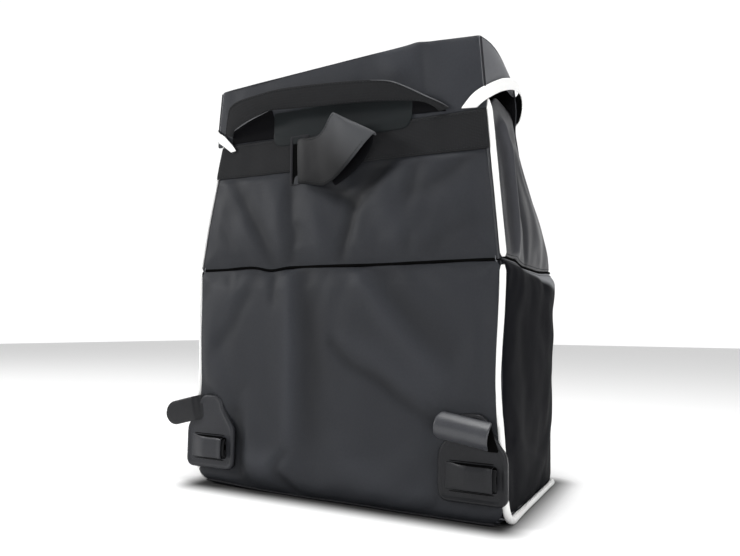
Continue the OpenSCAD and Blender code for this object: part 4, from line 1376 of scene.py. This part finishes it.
def moulded_plate(name, cx, cad_node, strap_node, plastic):
    lo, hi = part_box(cad_node)
    width = hi.x - lo.x
    loop = resampled(plate_outline(width, lo.z, 74 * MM, hi.z, 38 * MM), 160)
    count, rings = len(loop), len(PLATE_PROFILE)
    insets = [(inset_loop(loop, d * MM), REAR_Y + y * MM) for d, y in PLATE_PROFILE]
    verts = np.vstack([xyz(cx + ring[:, 0], y, ring[:, 1]) for ring, y in insets])
    faces = ring_faces(rings, count) + end_caps(rings, count)
    place(solid_object(name, verts, faces, verts[:, [X, Z]], plastic), "bag", "plate_black", cad_node)

    x0, x1 = cx - width / 2 + 9 * MM, cx + width / 2 - 14 * MM
    keeper(name, x0, x1, plastic)
    # Near-black sheets along the keeper's slots and in its mouth: painted shadow.
    for end, z_slot in (("low", KEEPER_LOW - 1.6 * MM), ("high", KEEPER_HIGH + 1.6 * MM)):
        k = np.arange(-2, 3)[:, None]
        slot = xyz(np.linspace(x0 + 3 * MM, x1 + 1 * MM, 14), PLATE_FRONT_Y + (0.25 + 0.25 * abs(k)) * MM,
                   z_slot + 0.75 * k * MM)
        sheet(name + "_slot_" + end, slot, 0.7 * MM, DEEP, "bag", "plate_black")
    mouth = xyz(np.linspace(x1 - 5 * MM, x1 + 3.2 * MM, 5), PLATE_FRONT_Y - 0.1 * MM,
                np.linspace(KEEPER_LOW + 1 * MM, KEEPER_HIGH - 1 * MM, 8)[:, None])
    sheet(name + "_mouth", mouth, 0.6 * MM, DEEP, "bag", "plate_black")

    strap_lo, strap_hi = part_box(strap_node)
    centre, half = (strap_lo + strap_hi) / 2, (strap_hi - strap_lo) / 2
    a = 2 * math.pi * 0.92 * np.linspace(0, 1, 31)[:, None] + 0.35
    strap_end = strap_hi.x + cx - (lo.x + hi.x) / 2
    strap = xyz(np.linspace(x0 + 0.55 * (x1 - x0), strap_end, 16),
                centre.y + squared(np.cos(a), 0.8) * (half.y - 0.2 * MM),
                centre.z + squared(np.sin(a), 0.8) * (half.z - 0.2 * MM))
    sheet(name + "_strap", strap[:, ::-1], 1.2 * MM, LOOP, "bag", "webbing_black", strap_node)


def keeper(name, x0, x1, plastic):
    """The raised arch over the strap, low at its closed end and flared at its mouth; its up- and down-facing
    walls are near-black, painted shade.
    """
    t = np.linspace(0, 1, 30)
    flare = 1.2 * MM * smooth_step((t - 0.86) / 0.14)
    height = 7.5 * MM * (0.06 + 0.94 * smooth_step((t + 0.05) / 0.55)) + flare
    a = math.pi * np.linspace(0, 1, 26)[:, None]
    middle, half = (KEEPER_LOW + KEEPER_HIGH) / 2, (KEEPER_HIGH - KEEPER_LOW) / 2
    grid = xyz(x0 + t * (x1 - x0), PLATE_FRONT_Y + 0.4 * MM - abs(np.sin(a)) ** 0.45 * height,
               middle - squared(np.cos(a), 0.45) * half)
    arch = sheet(name + "_keeper", facing_rear(grid), 2.0 * MM, plastic, "bag", "plate_black")
    arch.data.materials.append(DEEP)
    for polygon in arch.data.polygons:
        if abs(polygon.normal.z) > 0.62:
            polygon.material_index = 2


def tongue(name, root, tilt, bow, curl, r, cad_node, cloth):
    """A rounded strap end towards -X from its root; bow is how far its middle stands out, r its tip."""
    length, wide = 58 * MM, 15 * MM
    d = np.linspace(0, length, 30)
    v = np.linspace(-1, 1, 15)[:, None]
    near_tip = np.maximum(r - (length - d), 0)
    h = v * (wide - r + np.sqrt(np.maximum(r * r - near_tip ** 2, (0.1 * r) ** 2)))
    y = -bow * (1 - (h / wide) ** 2) - curl * smooth_step((d - 2 * MM) / (10 * MM))
    c, s = math.cos(tilt), math.sin(tilt)
    grid = facing_rear(xyz(h * s - d * c, y, d * s + h * c) + np.array(root))
    # The tongue's inside is near-black: painted shade in its curl.
    sheet(name, grid, 2.2 * MM, cloth, cad_node, "plate_black", cad_node, inner=DEEP)


def tongue_shadow_sheet():
    """A near-black sheet behind the right tongue's folded end: painted shadow in the hollow there."""
    z = np.linspace(77 * MM, 105 * MM, 10)[:, None]
    right = 0.1885 + 0.0085 * (0.105 - z) / 0.028
    grid = xyz(0.1845 + (right - 0.1845) * np.linspace(0, 1, 6), REAR_Y - 5.9 * MM, z)
    sheet("tongue_shadow_right", grid, 0.6 * MM, DEEP, "bag", "plate_black")


moulded_plate("plate_right", 0.168, "anchor_plate_right", "keeper_strap_right", PLATE)
moulded_plate("plate_left", -0.180, "anchor_plate_left", "keeper_strap_left", PLATE_LIT_COPY)
tongue("tongue_flap_right", (0.188, REAR_Y - 6 * MM, 0.092), math.radians(9), 11 * MM, 0.0, 6 * MM,
       "tongue_right", TONGUE)
tongue("tongue_flap_left", (-0.1935, REAR_Y - 4.4 * MM, 0.0985), math.radians(-14), 1.0 * MM, 5.0 * MM,
       15 * MM, "tongue_left", PLATE)
tongue_shadow_sheet()


# ---- CAD nodes that keep their own shape ----

for name, m in (("base_board", BOARD), ("rear_board", BOARD), ("snap_sockets", METAL), ("snap_studs", METAL)):
    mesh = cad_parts[name].data
    mesh.materials.clear()
    mesh.materials.append(m)


# ---- studio ----

def floor():
    """A pale floor that glows to read white, with a painted contact shadow: its colour darkens and its glow
    dies away close to the bag.
    """
    obj = new_object("floor", [(-6, -6, 0), (6, -6, 0), (6, 8, 0), (-6, 8, 0)], [(0, 1, 2, 3)])
    m, tree, shader = material("floor", (0.88, 0.88, 0.88), 0.9, specular=0.1)
    at = node(tree, "ShaderNodeSeparateXYZ", {0: place_in(tree)})
    middle_y, half_y = (REAR_Y + BASE_FRONT_Y) / 2, (BASE_FRONT_Y - REAR_Y) / 2
    squares = []
    for axis, centre, half in (("X", 0.0, HALF_BASE - 5 * MM), ("Y", middle_y, half_y)):
        from_middle = math_node(tree, "ABSOLUTE", math_node(tree, "SUBTRACT", at.outputs[axis], centre))
        outside = math_node(tree, "MAXIMUM", math_node(tree, "SUBTRACT", from_middle, half), 0.0)
        squares.append(math_node(tree, "POWER", outside, 2.0))
    away = math_node(tree, "SQRT", math_node(tree, "ADD", *squares))
    shade = tint(tree, eased(tree, away, 0.0, 0.046), (0.06, 0.06, 0.06), (0.88, 0.88, 0.88))
    glow = eased(tree, away, 0.0, 0.07, 0.0, 0.34)
    wire(tree, shader, {"Emission Color": (1, 1, 1, 1), "Emission Strength": glow, "Base Color": shade})
    obj.data.materials.append(m)


def surroundings():
    """A white sweep behind the bag, falling off to a dimmer room all round."""
    world = bpy.data.worlds.new("studio")
    bpy.context.scene.world = world
    world.use_nodes = True
    tree = world.node_tree
    direction = node(tree, "ShaderNodeTexCoord", {}).outputs["Generated"]
    towards = node(tree, "ShaderNodeVectorMath", {0: direction, 1: (-0.46, 0.88, 0.08)},
                   operation="DOT_PRODUCT")
    glow = eased(tree, towards.outputs["Value"], 0.62, 0.80, 0.22, 1.06)
    wire(tree, tree.nodes["Background"], {"Color": (1, 1, 1, 1), "Strength": glow})


def area(name, where, target, size, power):
    light = bpy.data.lights.new(name, "AREA")
    light.energy = power
    light.shape = "RECTANGLE"
    light.size, light.size_y = size
    obj = bpy.data.objects.new(name, light)
    obj.location = where
    obj.rotation_euler = (Vector(target) - Vector(where)).to_track_quat("-Z", "Y").to_euler()
    bpy.context.scene.collection.objects.link(obj)


floor()
surroundings()
area("key", (-2.6, -1.55, 1.45), (0, -0.1, 0.25), (0.6, 0.6), 57)
area("fill", (1.3, -2.1, 0.8), (0.05, -0.1, 0.3), (0.8, 0.8), 11)
area("top", (0.2, -0.35, 1.9), (0, 0, 0.3), (0.9, 0.6), 21)
area("side", (1.5, -0.55, 0.85), (0.15, 0, 0.35), (0.25, 0.9), 9)


def camera():
    """The viewing angle: low behind the bag's right rear edge, looking slightly up."""
    yaw, pitch, roll = 0.480, 0.076, 0.010
    forward = Vector((-math.sin(yaw) * math.cos(pitch), math.cos(yaw) * math.cos(pitch), math.sin(pitch)))
    right = Vector((math.cos(yaw), math.sin(yaw), 0))
    up = right.cross(forward)
    right_r = right * math.cos(roll) + up * math.sin(roll)
    up_r = -right * math.sin(roll) + up * math.cos(roll)
    data = bpy.data.cameras.new("camera")
    data.sensor_width = 36
    data.lens = 31.6
    data.clip_start = 0.02
    obj = bpy.data.objects.new("camera", data)
    obj.matrix_world = Matrix((
        (right_r.x, up_r.x, -forward.x, 0.3882),
        (right_r.y, up_r.y, -forward.y, REAR_Y - 0.6578),
        (right_r.z, up_r.z, -forward.z, 0.202),
        (0, 0, 0, 1)))
    bpy.context.scene.collection.objects.link(obj)
    bpy.context.scene.camera = obj


camera()
bpy.context.scene.view_settings.view_transform = "Standard"
